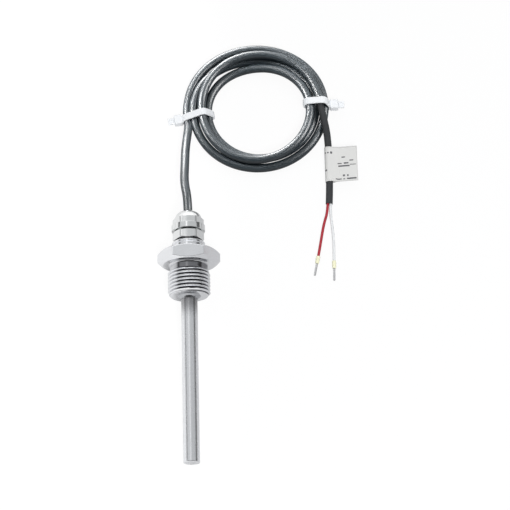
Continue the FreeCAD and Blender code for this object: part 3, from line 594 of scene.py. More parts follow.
# %% Plastics and rubber
# Name, two colours and roughness
CABLE_JACKET = plastic("cable_jacket", ((0.006, 0.009, 0.011), (0.010, 0.014, 0.017)), 0.42)
SLEEVE_PLASTIC = plastic("sleeve_plastic", ((0.026, 0.028, 0.031), (0.036, 0.038, 0.041)), 0.55)
RED_PLASTIC = plastic("red_plastic", ((0.36, 0.018, 0.030), (0.44, 0.026, 0.042)), 0.42)
WHITE_PLASTIC = plastic("white_plastic", ((0.74, 0.76, 0.77), (0.82, 0.83, 0.84)), 0.42)
TIE_NYLON = plastic("tie_nylon", ((0.84, 0.86, 0.89), (0.90, 0.92, 0.94)), 0.40)
COLLAR_PLASTIC = plastic("collar_plastic", ((0.84, 0.83, 0.58), (0.89, 0.88, 0.66)), 0.42)
SEAL_RUBBER = plastic("seal_rubber", ((0.010, 0.010, 0.011), (0.020, 0.020, 0.021)), 0.62)
CAGE_NYLON = plastic("cage_nylon", ((0.04, 0.04, 0.04), (0.06, 0.06, 0.06)), 0.45)
CHIP_CERAMIC = plastic("chip_ceramic", ((0.70, 0.70, 0.67), (0.80, 0.80, 0.77)), 0.50)
SPLICE_PLASTIC = plastic("splice_plastic", ((0.68, 0.67, 0.63), (0.78, 0.77, 0.73)), 0.50)
HEAT_PASTE = plastic("heat_paste", ((0.55, 0.55, 0.53), (0.66, 0.66, 0.64)), 0.60, bump=(0.5, 0.06))
print(len(bpy.data.materials), "materials")

# %% [markdown]
# ## Turned pieces
# A turned piece is an outline spun round the axis. Blender's Screw modifier can do that, but a wrench
# hexagon with its chamfer is not round: the chamfer meets each flat in a curve. So each corner of the
# outline may have a radius and a height that change with the angle, and a ring of points is laid through
# it. Corners with an edge value become three short steps, because a knife-sharp edge catches no light.
# In the outlines below each corner is a radius, a height and that edge value, in millimetres.

# %% Rings round the axis
EDGE_STEPS = (0.0, 0.35, 0.65, 1.0)
EDGE_LIMIT = 0.45
FLAT_COLUMNS = 24
HALF_FLAT = math.radians(30)


def hexagon_angles():
    """Angles round a hexagon, close together at its corners."""
    share = np.arange(-1, 1, 2 / FLAT_COLUMNS)
    lean = HALF_FLAT * np.sin(share * math.pi / 2)
    return np.concatenate([math.radians(30 + 60 * flat) + lean for flat in range(6)])


def round_angles(count):
    """Even angles round a circle."""
    return np.arange(count) * 2 * math.pi / count


def hexagon_radius(angles, flats, corner):
    """Distance from the axis to a hexagon with rounded corners; two flats face up and down."""
    lean = np.radians(np.abs(np.degrees(angles) % 60 - 30))
    straight = flats / 2 / np.cos(lean)
    reach = (flats / 2 - corner) / math.cos(HALF_FLAT)
    off = HALF_FLAT - lean
    bow = reach * np.cos(off) + np.sqrt(np.maximum(corner ** 2 - (reach * np.sin(off)) ** 2, 0))
    turn = math.atan2((flats / 2 - corner) * math.tan(HALF_FLAT), flats / 2)
    return np.where(lean > turn, bow, straight)


def soft_rings(corners, columns):
    """One ring of (radius, height) for each corner, or a short curve of rings where it has an edge."""
    flat = np.zeros(columns)
    places = [np.stack([flat + radius, flat + height], axis=1) for radius, height, _ in corners]
    rings = []
    for index, (_, _, edge) in enumerate(corners):
        here = places[index]
        if not edge:
            rings.append(here)
            continue
        back = places[index - 1] - here
        ahead = places[(index + 1) % len(places)] - here
        back_length = np.linalg.norm(back, axis=1, keepdims=True)
        ahead_length = np.linalg.norm(ahead, axis=1, keepdims=True)
        reach = np.minimum(edge, EDGE_LIMIT * np.minimum(back_length, ahead_length))
        start = here + back / back_length * reach
        end = here + ahead / ahead_length * reach
        for step in EDGE_STEPS:
            rings.append((1 - step) ** 2 * start + 2 * step * (1 - step) * here + step ** 2 * end)
    return rings


# %% Rings to mesh
SMOOTH_ANGLE = math.radians(50)
MERGE_DISTANCE = 1e-7
EMPTY_FACE = 1e-8


def turned_mesh(name, corners, angles, closed=True):
    """Closed skin through the rings of an outline in millimetres, about the local Z axis."""
    rings = soft_rings(corners, len(angles))
    columns = len(angles)
    places = []
    for ring in rings:
        rounds = zip(ring[:, 0] * np.cos(angles), ring[:, 0] * np.sin(angles), ring[:, 1])
        places += [(x * MM, y * MM, z * MM) for x, y, z in rounds]
    faces = []
    for row in range(len(rings) if closed else len(rings) - 1):
        upper = (row + 1) % len(rings) * columns
        lower = row * columns
        for column in range(columns):
            following = (column + 1) % columns
            faces.append((lower + column, lower + following, upper + following, upper + column))
    mesh = bpy.data.meshes.new(name)
    mesh.from_pydata(places, [], faces)
    return mesh


def clean(mesh):
    """Merge poles, drop empty faces, turn all faces outwards and shade smooth up to a limit."""
    work = bmesh.new()
    work.from_mesh(mesh)
    bmesh.ops.remove_doubles(work, verts=work.verts, dist=MERGE_DISTANCE)
    bmesh.ops.dissolve_degenerate(work, edges=work.edges, dist=EMPTY_FACE)
    bmesh.ops.recalc_face_normals(work, faces=work.faces)
    work.to_mesh(mesh)
    work.free()
    mesh.shade_smooth()
    mesh.set_sharp_from_angle(angle=SMOOTH_ANGLE)


def add_piece(name, mesh, material, slot, *nodes):
    """Finished piece at the origin, riding on the one body, in place of its solids."""
    if not mesh.materials:
        mesh.materials.append(material)
    piece = bpy.data.objects.new(name, mesh)
    bpy.context.scene.collection.objects.link(piece)
    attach(piece, "root")
    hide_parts(*nodes)
    print(name, len(mesh.polygons), "faces")
    return piece


def even_normals(piece):
    """Let large faces set the shading, so that a flat stays flat beside its soft edge."""
    weighted = piece.modifiers.new("even_normals", "WEIGHTED_NORMAL")
    weighted.keep_sharp = True


# %% [markdown]
# ## Screw fitting
# The fitting is turned from hexagon bar: a threaded stub with a groove behind the thread, the wrench
# hexagon, and a neck for the gland. The thread is a rule, so Geometry Nodes cut it: every point of the
# stub is pulled in to the thread's radius at its angle and height. A Screw modifier would leave an open
# strip that has to be sewn to the rest, and the rule keeps one closed skin. The same tree stores how deep
# each point lies, as the mask for the shade painted into the grooves.

# %% Fitting sizes
HEX_FLATS = 27.0
HEX_HEIGHT = 7.3
HEX_INSET = 0.7
HEX_FACE = HEX_FLATS / 2 - HEX_INSET
HEX_CORNER = 0.35
HEX_EDGE = 0.16
CHAMFER_SLOPE = math.tan(math.radians(30))
THREAD_RADIUS = 20.955 / 2
THREAD_PITCH = 1.814
THREAD_DEPTH = 1.162
THREAD_ROWS = 112
STUB_END = -16.0
STUB_CHAMFER = 1.3
UNDERCUT_WIDTH = 3.2
UNDERCUT_DEPTH = 1.18
UNDERCUT_FILLET = 1.0
NECK_RADIUS = 8.2
NECK_TOP = 11.9
NECK_FOOT_EDGE = 0.3
NECK_CHAMFER = 0.6
NECK_EDGE = 0.1
NECK_GROOVE = 0.35
NECK_GROOVE_TOP = 10.5
NECK_GROOVE_EDGE = 0.08
TUBE_RADIUS = 4.0
TUBE_BORE = 3.25
PRESS_CLEARANCE = 0.02
SEAT_BORE = TUBE_RADIUS + PRESS_CLEARANCE
SEAT_TOP = 2.0
WELD_RIM = 5.75
WELD_DEPTH = 1.0
GLAND_BORE = 6.1
GLAND_BORE_FLOOR = 5.9


def wrench_rings(radius, face, foot, top, edge):
    """Corners of a hexagon of these radii with a chamfer at both ends, from the foot up."""
    drop = (radius - face) * CHAMFER_SLOPE
    return [(face, foot, edge), (radius, foot + drop, edge), (radius, top - drop, edge), (face, top, edge)]


def run(start, end, count):
    """Rings between two corners of an outline, without the corners themselves."""
    radius, height, _ = start
    reach, rise = end[0] - radius, end[1] - height
    shares = [step / count for step in range(1, count)]
    return [(radius + reach * share, height + rise * share, 0) for share in shares]


def fitting_outline(angles):
    """Corners from the weld's rim up round the outside and down the bores, with many rings on the stub."""
    chamfer_top = STUB_END + STUB_CHAMFER
    groove_start = -UNDERCUT_WIDTH - UNDERCUT_DEPTH
    stub = [
        (THREAD_RADIUS - STUB_CHAMFER, STUB_END, 0),
        (THREAD_RADIUS, chamfer_top, 0),
        (THREAD_RADIUS, groove_start, 0),
        (THREAD_RADIUS - UNDERCUT_DEPTH, -UNDERCUT_WIDTH, 0),
    ]
    corners = [(WELD_RIM, STUB_END, 0), stub[0]]
    for start, end in zip(stub, stub[1:]):
        count = max(2, round(THREAD_ROWS * (end[1] - start[1]) / -STUB_END))
        corners += run(start, end, count) + [end]
    corners.append((THREAD_RADIUS - UNDERCUT_DEPTH, 0, UNDERCUT_FILLET))
    hexagon = hexagon_radius(angles, HEX_FLATS, HEX_CORNER)
    corners += wrench_rings(hexagon, HEX_FACE, 0, HEX_HEIGHT, HEX_EDGE)
    groove_floor = NECK_GROOVE_TOP - NECK_GROOVE
    corners += [
        (NECK_RADIUS, HEX_HEIGHT, NECK_FOOT_EDGE),
        (NECK_RADIUS, groove_floor - NECK_GROOVE, NECK_GROOVE_EDGE),
        (NECK_RADIUS - NECK_GROOVE, groove_floor, NECK_GROOVE_EDGE),
        (NECK_RADIUS, NECK_GROOVE_TOP, NECK_GROOVE_EDGE),
        (NECK_RADIUS, NECK_TOP - NECK_CHAMFER, NECK_EDGE),
        (NECK_RADIUS - NECK_CHAMFER, NECK_TOP, NECK_EDGE),
        (GLAND_BORE, NECK_TOP, 0),
        (GLAND_BORE, GLAND_BORE_FLOOR, 0),
        (TUBE_BORE, GLAND_BORE_FLOOR, 0),
        (TUBE_BORE, SEAT_TOP, 0),
        (SEAT_BORE, SEAT_TOP, 0),
        (SEAT_BORE, STUB_END + WELD_DEPTH, 0),
    ]
    return corners


# %% Geometry trees
def geometry_tree(name, inputs):
    """Empty geometry tree with named float inputs between its geometry sockets."""
    tree = bpy.data.node_groups.new(name, "GeometryNodeTree")
    tree.interface.new_socket("Geometry", in_out="INPUT", socket_type="NodeSocketGeometry")
    for label in inputs:
        tree.interface.new_socket(label, in_out="INPUT", socket_type="NodeSocketFloat")
    tree.interface.new_socket("Geometry", in_out="OUTPUT", socket_type="NodeSocketGeometry")
    return tree, add_node(tree, "NodeGroupInput").outputs, add_node(tree, "NodeGroupOutput").inputs


def end_tree(tree, geometry, result, material):
    """Realize, set the material and leave the tree."""
    real = add_node(tree, "GeometryNodeRealizeInstances", inputs={"Geometry": geometry})
    dressed = add_node(tree, "GeometryNodeSetMaterial", inputs={
        "Geometry": real.outputs["Geometry"], "Material": material})
    tree.links.new(dressed.outputs["Geometry"], result["Geometry"])


def made_by(tree, mesh, values):
    """Plain mesh that a geometry tree makes from a mesh, with its inputs set by identifier."""
    holder = bpy.data.objects.new(mesh.name, mesh)
    bpy.context.scene.collection.objects.link(holder)
    modifier = holder.modifiers.new(tree.name, "NODES")
    modifier.node_group = tree
    for item in tree.interface.items_tree:
        if item.in_out == "INPUT" and item.name in values:
            modifier[item.identifier] = values[item.name]
    ready = holder.evaluated_get(bpy.context.evaluated_depsgraph_get())
    made = bpy.data.meshes.new_from_object(ready)
    holder.modifiers.remove(modifier)
    bpy.data.objects.remove(holder)
    return made


# %% Thread cutter
# The flank falls between these two shares of half a pitch
FLANK_TOP = 0.92
FLANK_FOOT = 0.08
# Share of the painted groove shade that the undercut gets
UNDERCUT_SHARE = 0.8
FACE_MARGIN = 0.2


def thread_groove(tree, angle, height, pitch):
    """Share of the thread's depth at an angle and a height: 0 on a crest, 1 in a root."""
    turn = math_node(tree, "DIVIDE", angle, 2 * math.pi)
    climb = math_node(tree, "SUBTRACT", math_node(tree, "DIVIDE", height, pitch), turn)
    saw = math_node(tree, "MULTIPLY", math_node(tree, "FRACT", climb), 2.0)
    wave = math_node(tree, "ABSOLUTE", math_node(tree, "SUBTRACT", saw, 1.0))
    return smooth_step(tree, wave, FLANK_TOP, FLANK_FOOT)


def groove_shade_mask(tree, given, height, cut, on_thread):
    """Mask for painted shade: how far each point of the stub lies below the crests, a little less in the
    undercut.
    """
    above = math_node(tree, "GREATER_THAN", height, given["Foot"])
    beside = math_node(tree, "MULTIPLY", math_node(tree, "LESS_THAN", height, 0.0), above)
    sunk = math_node(tree, "DIVIDE", math_node(tree, "SUBTRACT", given["Radius"], cut), given["Depth"])
    share = math_node(tree, "MULTIPLY_ADD", on_thread, 1 - UNDERCUT_SHARE, UNDERCUT_SHARE)
    return math_node(tree, "MULTIPLY", math_node(tree, "MULTIPLY", beside, sunk), share)


def thread_tree(material):
    """Tree that pulls the stub in to the thread's radius and stores how deep each point lies, for painted
    shade.
    """
    tree, given, result = geometry_tree("thread_cutter", ("Pitch", "Depth", "Radius", "Top", "Foot"))
    x, y, z = split(tree, add_node(tree, "GeometryNodeInputPosition").outputs["Position"])
    angle = math_node(tree, "ARCTAN2", y, x)
    groove = thread_groove(tree, angle, z, given["Pitch"])
    sink = math_node(tree, "MULTIPLY", groove, given["Depth"])
    squares = [math_node(tree, "MULTIPLY", side, side) for side in (x, y)]
    radius = math_node(tree, "SQRT", math_node(tree, "ADD", *squares))
    cut = math_node(tree, "MINIMUM", radius, math_node(tree, "SUBTRACT", given["Radius"], sink))
    moved = add_node(tree, "ShaderNodeCombineXYZ", inputs={
        "X": math_node(tree, "MULTIPLY", cut, math_node(tree, "COSINE", angle)),
        "Y": math_node(tree, "MULTIPLY", cut, math_node(tree, "SINE", angle)),
        "Z": z,
    })
    on_thread = math_node(tree, "LESS_THAN", z, given["Top"])
    depth = groove_shade_mask(tree, given, z, cut, on_thread)
    masked = add_node(tree, "GeometryNodeStoreNamedAttribute", {"data_type": "FLOAT", "domain": "POINT"}, {
        "Geometry": given["Geometry"], "Name": "groove", "Value": depth})
    threaded = add_node(tree, "GeometryNodeSetPosition", inputs={
        "Geometry": masked.outputs["Geometry"], "Selection": on_thread, "Position": moved.outputs["Vector"]})
    end_tree(tree, threaded.outputs["Geometry"], result, material)
    return tree


flat_angles = hexagon_angles()
blank = turned_mesh("fitting_blank", fitting_outline(flat_angles), flat_angles)
fitting_mesh = made_by(thread_tree(FITTING_STEEL), blank, {
    "Pitch": THREAD_PITCH * MM,
    "Depth": THREAD_DEPTH * MM,
    "Radius": THREAD_RADIUS * MM,
    "Top": -UNDERCUT_WIDTH * MM,
    "Foot": (STUB_END + FACE_MARGIN) * MM,
})
clean(fitting_mesh)
fitting_mesh.transform(SENSOR)
fitting = add_piece("fitting_skin", fitting_mesh, FITTING_STEEL, "stainless_steel", "screw_fitting")
even_normals(fitting)

# %% [markdown]
# ## Tube, plug and weld
# The tube is drawn steel, closed by a plug that is ground flush with its end, so the tip shows a faint
# ring. The bead that joins it to the stub climbs the tube with a hollow face, and small ripples run
# round it where the torch went step by step.

# %% Tube and plug
IMMERSION = 100.0
TIP_EDGE = 0.4
PLUG_HEIGHT = 2.5
PLUG_EDGE = 0.06


def turned_piece(name, corners, angles, material, slot, *nodes, closed=True):
    """Finished piece from an outline, set down in the sensor's lying pose."""
    mesh = turned_mesh(name, corners, angles, closed)
    clean(mesh)
    mesh.transform(SENSOR)
    piece = add_piece(name, mesh, material, slot, *nodes)
    even_normals(piece)
    return piece


round_96 = round_angles(96)
tube_outline = [
    (TUBE_BORE, -IMMERSION, PLUG_EDGE),
    (TUBE_RADIUS, -IMMERSION, TIP_EDGE),
    (TUBE_RADIUS, SEAT_TOP, 0),
    (TUBE_BORE, SEAT_TOP, 0),
]
turned_piece("tube_skin", tube_outline, round_96, TUBE_STEEL, "stainless_steel", "protective_tube")
plug_radius = TUBE_BORE - PRESS_CLEARANCE
plug_outline = [
    (0, -IMMERSION, 0),
    (plug_radius, -IMMERSION, PLUG_EDGE),
    (plug_radius, PLUG_HEIGHT - IMMERSION, 0),
    (0, PLUG_HEIGHT - IMMERSION, 0),
]
turned_piece(
    "plug_skin", plug_outline, round_96, TUBE_STEEL, "stainless_steel", "tube_end_plug", closed=False)

# %% Weld
WELD_LEG = 1.6
WELD_TOE = 0.3
WELD_TOE_EDGE = 0.1
# The hollow face passes through points so far out from the bore and down from the stub's end
WELD_HOLLOW = [(0.55, 0.85), (1.0, 0.40)]
RIPPLES = 28
RIPPLE_HEIGHT = 0.05
RIPPLE_COLUMNS = 6
weld_angles = round_angles(RIPPLES * RIPPLE_COLUMNS)
ripple = RIPPLE_HEIGHT * np.abs(np.sin(RIPPLES / 2 * weld_angles))
weld_outline = [
    (SEAT_BORE, STUB_END + WELD_DEPTH, 0),
    (SEAT_BORE, STUB_END - WELD_LEG, 0),
    (SEAT_BORE + WELD_TOE, STUB_END - WELD_LEG, WELD_TOE_EDGE),
]
weld_outline += [(SEAT_BORE + out + ripple, STUB_END - down, 0) for out, down in WELD_HOLLOW]
weld_outline.append((WELD_RIM, STUB_END, 0))
turned_piece("weld_skin", weld_outline, weld_angles, WELD_STEEL, "stainless_steel", "tube_weld")

# %% [markdown]
# ## Cable gland
# The gland is bright nickel-plated brass: a body screwed into the neck on a rubber ring, and a cap nut
# that squeezes the seal and its cage onto the cable. Its facets and the gap between body and cap draw
# the fine dark lines above the hexagon. Polishing leaves the flats a little crowned, so light grades over
# them, and a dead flat facet would show one even tone instead.

# %% Gland sizes and body
GLAND_FLATS = 14.0
GLAND_INSET = 0.35
GLAND_FACE = GLAND_FLATS / 2 - GLAND_INSET
GLAND_CORNER = 1.6
GLAND_CROWN = 0.08
GLAND_EDGE = 0.12
GLAND_FOOT = 12.7
GLAND_TOP = 17.4
GLAND_THREAD = 6.0
GLAND_THREAD_END = 7.1
SPIGOT = 5.9
SPIGOT_TOP = 22.373
SEAL_BORE = 4.2
SEAL_FLOOR = 15.0
PASSAGE = 2.6
CAP_FOOT = 17.7
CAP_COLLAR = 8.3
CAP_HEX_FOOT = 20.6
CAP_HEX_TOP = 24.3
CAP_LIP = 4.1
CAP_MOUTH = 2.75
CAP_SEAT = 5.3
CAP_ROOF = 26.5
CAP_EAVES = 25.223
CAGE_TOP = 23.173
DOME_RADIUS = 4.2
DOME_STEPS = 10


def crowned(angles, flats, corner, crown):
    """Hexagon whose polished flats bulge a little: full size in the middle, less towards the corners."""
    share = np.abs(np.degrees(angles) % 60 - 30) / 30
    return hexagon_radius(angles, flats, corner) - crown * (1 - np.cos(math.pi * share)) / 2


gland_hexagon = crowned(flat_angles, GLAND_FLATS, GLAND_CORNER, GLAND_CROWN)
body_outline = [
    (PASSAGE, GLAND_THREAD_END, 0),
    (GLAND_THREAD, GLAND_THREAD_END, 0),
    (GLAND_THREAD, GLAND_FOOT, 0),
]
body_outline += wrench_rings(gland_hexagon, GLAND_FACE, GLAND_FOOT, GLAND_TOP, GLAND_EDGE)
body_outline += [
    (SPIGOT, GLAND_TOP, 0),
    (SPIGOT, SPIGOT_TOP, 0),
    (SEAL_BORE, SPIGOT_TOP, 0),
    (SEAL_BORE, SEAL_FLOOR, 0),
    (PASSAGE, SEAL_FLOOR, 0),
]
turned_piece("gland_body_skin", body_outline, flat_angles, GLAND_NICKEL, "nickel_plate", "gland_body")


# %% Cap nut and ring
def dome(start, end, radius, steps):
    """Rings on an arc that bulges outwards from one corner to another, without the corners."""
    chord = np.subtract(end, start)
    length = np.linalg.norm(chord)
    middle = np.add(start, end) / 2
    inward = np.array([-chord[1], chord[0]]) / length
    centre = middle + inward * math.sqrt(radius ** 2 - length ** 2 / 4)
    first = math.atan2(start[1] - centre[1], start[0] - centre[0])
    last = math.atan2(end[1] - centre[1], end[0] - centre[0])
    turns = [first + (last - first) * step / steps for step in range(1, steps)]
    return [(centre[0] + radius * math.cos(turn), centre[1] + radius * math.sin(turn), 0) for turn in turns]


cap_drop = (gland_hexagon - GLAND_FACE) * CHAMFER_SLOPE
cap_outline = [
    (GLAND_THREAD, CAP_FOOT, 0),
    (CAP_COLLAR, CAP_FOOT, 0.15),
    (CAP_COLLAR, CAP_HEX_FOOT, 0.12),
    (gland_hexagon, CAP_HEX_FOOT, 0.05),
    (gland_hexagon, CAP_HEX_TOP - cap_drop, 0.1),
    (GLAND_FACE, CAP_HEX_TOP, 0.05),
]
cap_outline += dome((GLAND_FACE, CAP_HEX_TOP), (CAP_LIP, CAP_TOP), DOME_RADIUS, DOME_STEPS)
cap_outline += [
    (CAP_LIP, CAP_TOP, 0.1),
    (CAP_MOUTH, CAP_TOP, 0.25),
    (CAP_MOUTH, CAP_ROOF, 0),
    (CAP_SEAT, CAP_EAVES, 0),
    (CAP_SEAT, CAGE_TOP, 0),
    (GLAND_THREAD, CAGE_TOP, 0),
]
turned_piece("cap_nut_skin", cap_outline, flat_angles, GLAND_NICKEL, "nickel_plate", "gland_cap_nut")
RING_SECTION = [(0.2, 0), (0.9, 0), (1.12, 0.2), (1.2, 0.4), (1.12, 0.6), (0.9, 0.8), (0.2, 0.8)]
ring_outline = [(GLAND_THREAD + out, NECK_TOP + rise, 0) for out, rise in RING_SECTION]
turned_piece("o_ring_skin", ring_outline, round_96, SEAL_RUBBER, "seal_rubber", "gland_o_ring")

# %% [markdown]
# ## Cable ties
# Two nylon ties hold the turns. Where a tie goes depends on how the strands lie there, so the strands'
# places are read off the cable's own curve, and a belt is drawn round them. The strap follows that belt:
# Geometry Nodes sweep a small rounded section along it, which keeps the width the same all round.

# %% Strands at a tie
coil_centre = placed([(COIL_X, COIL_REACH, 0)])[0]


def centreline(piece):
    """Points along a cord's curve, read with its thickness taken off for the moment."""
    depth = piece.data.bevel_depth
    piece.data.bevel_depth = 0
    ready = piece.evaluated_get(bpy.context.evaluated_depsgraph_get())
    line = bpy.data.meshes.new_from_object(ready)
    piece.data.bevel_depth = depth
    return [vertex.co.copy() for vertex in line.vertices]


def strands_at(line, degrees):
    """Distance from the coil's middle and height of each strand that crosses a line at this angle."""
    way = Vector((math.cos(math.radians(degrees)), math.sin(math.radians(degrees)), 0))
    side = Vector((-way.y, way.x, 0))
    found = []
    for start, end in zip(line, line[1:]):
        before, after = side.dot(start - coil_centre), side.dot(end - coil_centre)
        if before * after <= 0 and before != after and way.dot(start - coil_centre) > 0:
            cross = start.lerp(end, before / (before - after))
            found.append((way.dot(cross - coil_centre) / MM, cross.z / MM))
    return found


def belt(circles, radius, steps=24):
    """Convex line round equal circles, as points in turning order."""
    points = sorted({
        (x + radius * math.cos(turn), y + radius * math.sin(turn))
        for x, y in circles for turn in round_angles(steps)
    })

    def side(a, b, c):
        return (b[0] - a[0]) * (c[1] - a[1]) - (b[1] - a[1]) * (c[0] - a[0])

    def half_way(ordered):
        kept = []
        for point in ordered:
            while len(kept) > 1 and side(kept[-2], kept[-1], point) <= 0:
                kept.pop()
            kept.append(point)
        return kept[:-1]

    return half_way(points) + half_way(points[::-1])


cable_line = centreline(cable)
LEFT_TIE = 189.0
RIGHT_TIE = 1.0
for degrees in (LEFT_TIE, RIGHT_TIE):
    print("strands at", degrees, [(round(r, 1), round(z, 1)) for r, z in strands_at(cable_line, degrees)])

# %% Strap tree
TIE_WIDTH = 3.5
TIE_THICKNESS = 1.1
TIE_CLEARANCE = 0.1
STRAP_EDGE = 0.25
STRAP_STEP = 0.4


def strap_tree(material):
    """Tree that sweeps a rounded section along a closed line of edges."""
    tree, given, result = geometry_tree("tie_strap", ("Width", "Thickness", "Edge", "Step"))
    path = add_node(tree, "GeometryNodeMeshToCurve", inputs={"Mesh": given["Geometry"]})
    even = add_node(tree, "GeometryNodeResampleCurve", {"mode": "LENGTH"}, {
        "Curve": path.outputs["Curve"], "Length": given["Step"]})
    section = add_node(tree, "GeometryNodeCurvePrimitiveQuadrilateral", inputs={
        "Width": given["Thickness"], "Height": given["Width"]})
    soft = add_node(tree, "GeometryNodeFilletCurve", {"mode": "POLY"}, {
        "Curve": section.outputs["Curve"], "Radius": given["Edge"], "Count": 3})
    upright = add_node(tree, "GeometryNodeSetCurveNormal", {"mode": "Z_UP"}, {"Curve": even.outputs["Curve"]})
    strap = add_node(tree, "GeometryNodeCurveToMesh", inputs={
        "Curve": upright.outputs["Curve"], "Profile Curve": soft.outputs["Curve"], "Fill Caps": True})
    end_tree(tree, strap.outputs["Mesh"], result, material)
    return tree


def loop_mesh(name, points):
    """Closed line of edges in the XY plane, in metres."""
    mesh = bpy.data.meshes.new(name)
    count = len(points)
    edges = [(index, (index + 1) % count) for index in range(count)]
    mesh.from_pydata([(x * MM, y * MM, 0) for x, y in points], edges, [])
    return mesh


# %% Ties
TIE_HEAD = (4.2, 3.8, 5.0)
HEAD_EDGE = 0.5
TIE_TAIL = 3.5
TAIL_INSET = 0.3
TAIL_EDGE = 0.2
TAIL_TEETH = 4
TOOTH_START = 0.5
TOOTH_STEP = 0.7
TOOTH_LENGTH = 0.4
TOOTH_WIDTH = 2.4
TOOTH_SINK = 0.1
TOOTH_TOP = 0.75
TOOTH_EDGE = 0.1
STRAP = strap_tree(TIE_NYLON)


def soft_block(work, low, high, edge):
    """Box between two corners, with its edges rounded."""
    size = np.subtract(high, low)
    middle = np.add(high, low) / 2
    box = Matrix.Translation([value * MM for value in middle]) @ Matrix.Diagonal((*(size * MM), 1))
    verts = bmesh.ops.create_cube(work, size=1, matrix=box)["verts"]
    edges = {link for vert in verts for link in vert.link_edges}
    bmesh.ops.bevel(work, geom=list(edges), offset=edge * MM, segments=3, profile=0.5, affect="EDGES")


def ratchet(work, outside, rise):
    """Head beside the outermost strand, and the cut tail with its teeth that comes out of it."""
    length, height, width = TIE_HEAD
    soft_block(work, (outside, rise - height / 2, -width / 2),
               (outside + length, rise + height / 2, width / 2), HEAD_EDGE)
    start = outside + length - TAIL_INSET
    face = rise + TIE_THICKNESS / 2
    soft_block(work, (start, rise - TIE_THICKNESS / 2, -TIE_WIDTH / 2),
               (start + TIE_TAIL, face, TIE_WIDTH / 2), TAIL_EDGE)
    for tooth in range(TAIL_TEETH):
        near = start + TOOTH_START + tooth * TOOTH_STEP
        soft_block(work, (near, face - TOOTH_SINK, -TOOTH_WIDTH / 2),
                   (near + TOOTH_LENGTH, rise + TOOTH_TOP, TOOTH_WIDTH / 2), TOOTH_EDGE)


def cable_tie(name, degrees, node):
    """Strap round the strands with its ratchet, stood up across the coil at an angle."""
    strands = strands_at(cable_line, degrees)
    middle_line = belt(strands, CABLE_DIA / 2 + TIE_CLEARANCE + TIE_THICKNESS / 2)
    mesh = made_by(STRAP, loop_mesh(name, middle_line), {
        "Width": TIE_WIDTH * MM, "Thickness": TIE_THICKNESS * MM,
        "Edge": STRAP_EDGE * MM, "Step": STRAP_STEP * MM})
    work = bmesh.new()
    work.from_mesh(mesh)
    outside = max(x for x, _ in middle_line)
    rise = min(strands, key=lambda strand: abs(strand[0] - outside))[1]
    ratchet(work, outside, rise)
    turn = math.radians(degrees)
    way = Vector((math.cos(turn), math.sin(turn), 0))
    up = Vector((0, 0, 1))
    stand = Matrix((way, up, way.cross(up))).transposed().to_4x4()
    bmesh.ops.transform(work, matrix=Matrix.Translation(coil_centre) @ stand, verts=work.verts)
    work.to_mesh(mesh)
    work.free()
    clean(mesh)
    piece = add_piece(name, mesh, TIE_NYLON, "tie_nylon", node)
    even_normals(piece)
    return piece


left_tie = cable_tie("left_tie_skin", LEFT_TIE, "cable_tie_left")
right_tie = cable_tie("right_tie_skin", RIGHT_TIE, "cable_tie_right")

# %% [markdown]
# ## Label flag
# The label is one strip of film, wrapped round the sleeve and stuck to itself. A flat box would show no
# fold, so the strip's section is drawn once, round the sleeve and along the two plies, then carried
# along the sleeve, and a Solidify modifier gives it the film's thickness. A few plain grey rules are
# printed on it, placed by a UV map that is the strip laid flat.

# %% Label section
LABEL_LENGTH = 18.5
LABEL_FLAG = 9.8
LABEL_TAPER = 2.5
LABEL_PLY = 0.15
LABEL_DROOP = 8.0
LABEL_FOOT = 0.6
LABEL_CLEARANCE = 0.3
LABEL_GAP = 0.04
LABEL_ROWS = 14
FLAG_STEPS = 10
WRAP_STEPS = 28


def label_section():
    """Strip in section: out along the upper ply, round the sleeve and back along the lower one."""
    skin = SLEEVE_DIA / 2 + LABEL_CLEARANCE
    root = skin + LABEL_TAPER
    touch = math.acos(skin / root)
    plies = [root + LABEL_FLAG * step / FLAG_STEPS for step in range(FLAG_STEPS, -1, -1)]
    arc = [touch + (2 * math.pi - 2 * touch) * step / WRAP_STEPS for step in range(WRAP_STEPS + 1)]
    upper = [(x, -LABEL_GAP / 2) for x in plies]
    wrap = [(skin * math.cos(turn), -skin * math.sin(turn)) for turn in arc]
    lower = [(x, LABEL_GAP / 2) for x in reversed(plies)]
    return upper + wrap + lower


def label_place():
    """Pose of the label: on the sleeve's long run, with its flag leaning down to the table."""
    head, foot = placed(SLEEVE_ROUTE)[2:4]
    way = (head - foot).normalized()
    side = way.cross(Vector((0, 0, 1))).normalized()
    stand = Matrix((side, way.cross(side), way)).transposed().to_4x4()
    middle = foot + way * (LABEL_FOOT + LABEL_LENGTH / 2) * MM
    return Matrix.Translation(middle) @ stand @ Matrix.Rotation(-math.radians(LABEL_DROOP), 4, "Z")


def label_mesh():
    """Strip of faces from the section, carried along the sleeve, with its UV map."""
    section = label_section()
    steps = [math.dist(a, b) for a, b in zip(section, section[1:])]
    reach = np.concatenate([[0], np.cumsum(steps)]) / sum(steps)
    work = bmesh.new()
    layer = work.loops.layers.uv.new("strip")
    rows = []
    for row in range(LABEL_ROWS + 1):
        share = row / LABEL_ROWS
        z = (share - 0.5) * LABEL_LENGTH
        rows.append([work.verts.new((x * MM, y * MM, z * MM)) for x, y in section])
    for row, (lower, upper) in enumerate(zip(rows, rows[1:])):
        for column in range(len(section) - 1):
            face = work.faces.new((lower[column + 1], lower[column], upper[column], upper[column + 1]))
            corners = ((column + 1, row), (column, row), (column, row + 1), (column + 1, row + 1))
            for loop, (u, v) in zip(face.loops, corners):
                loop[layer].uv = (reach[u], v / LABEL_ROWS)
    mesh = bpy.data.meshes.new("label_skin")
    work.to_mesh(mesh)
    work.free()
    mesh.transform(label_place())
    mesh.shade_smooth()
    return mesh


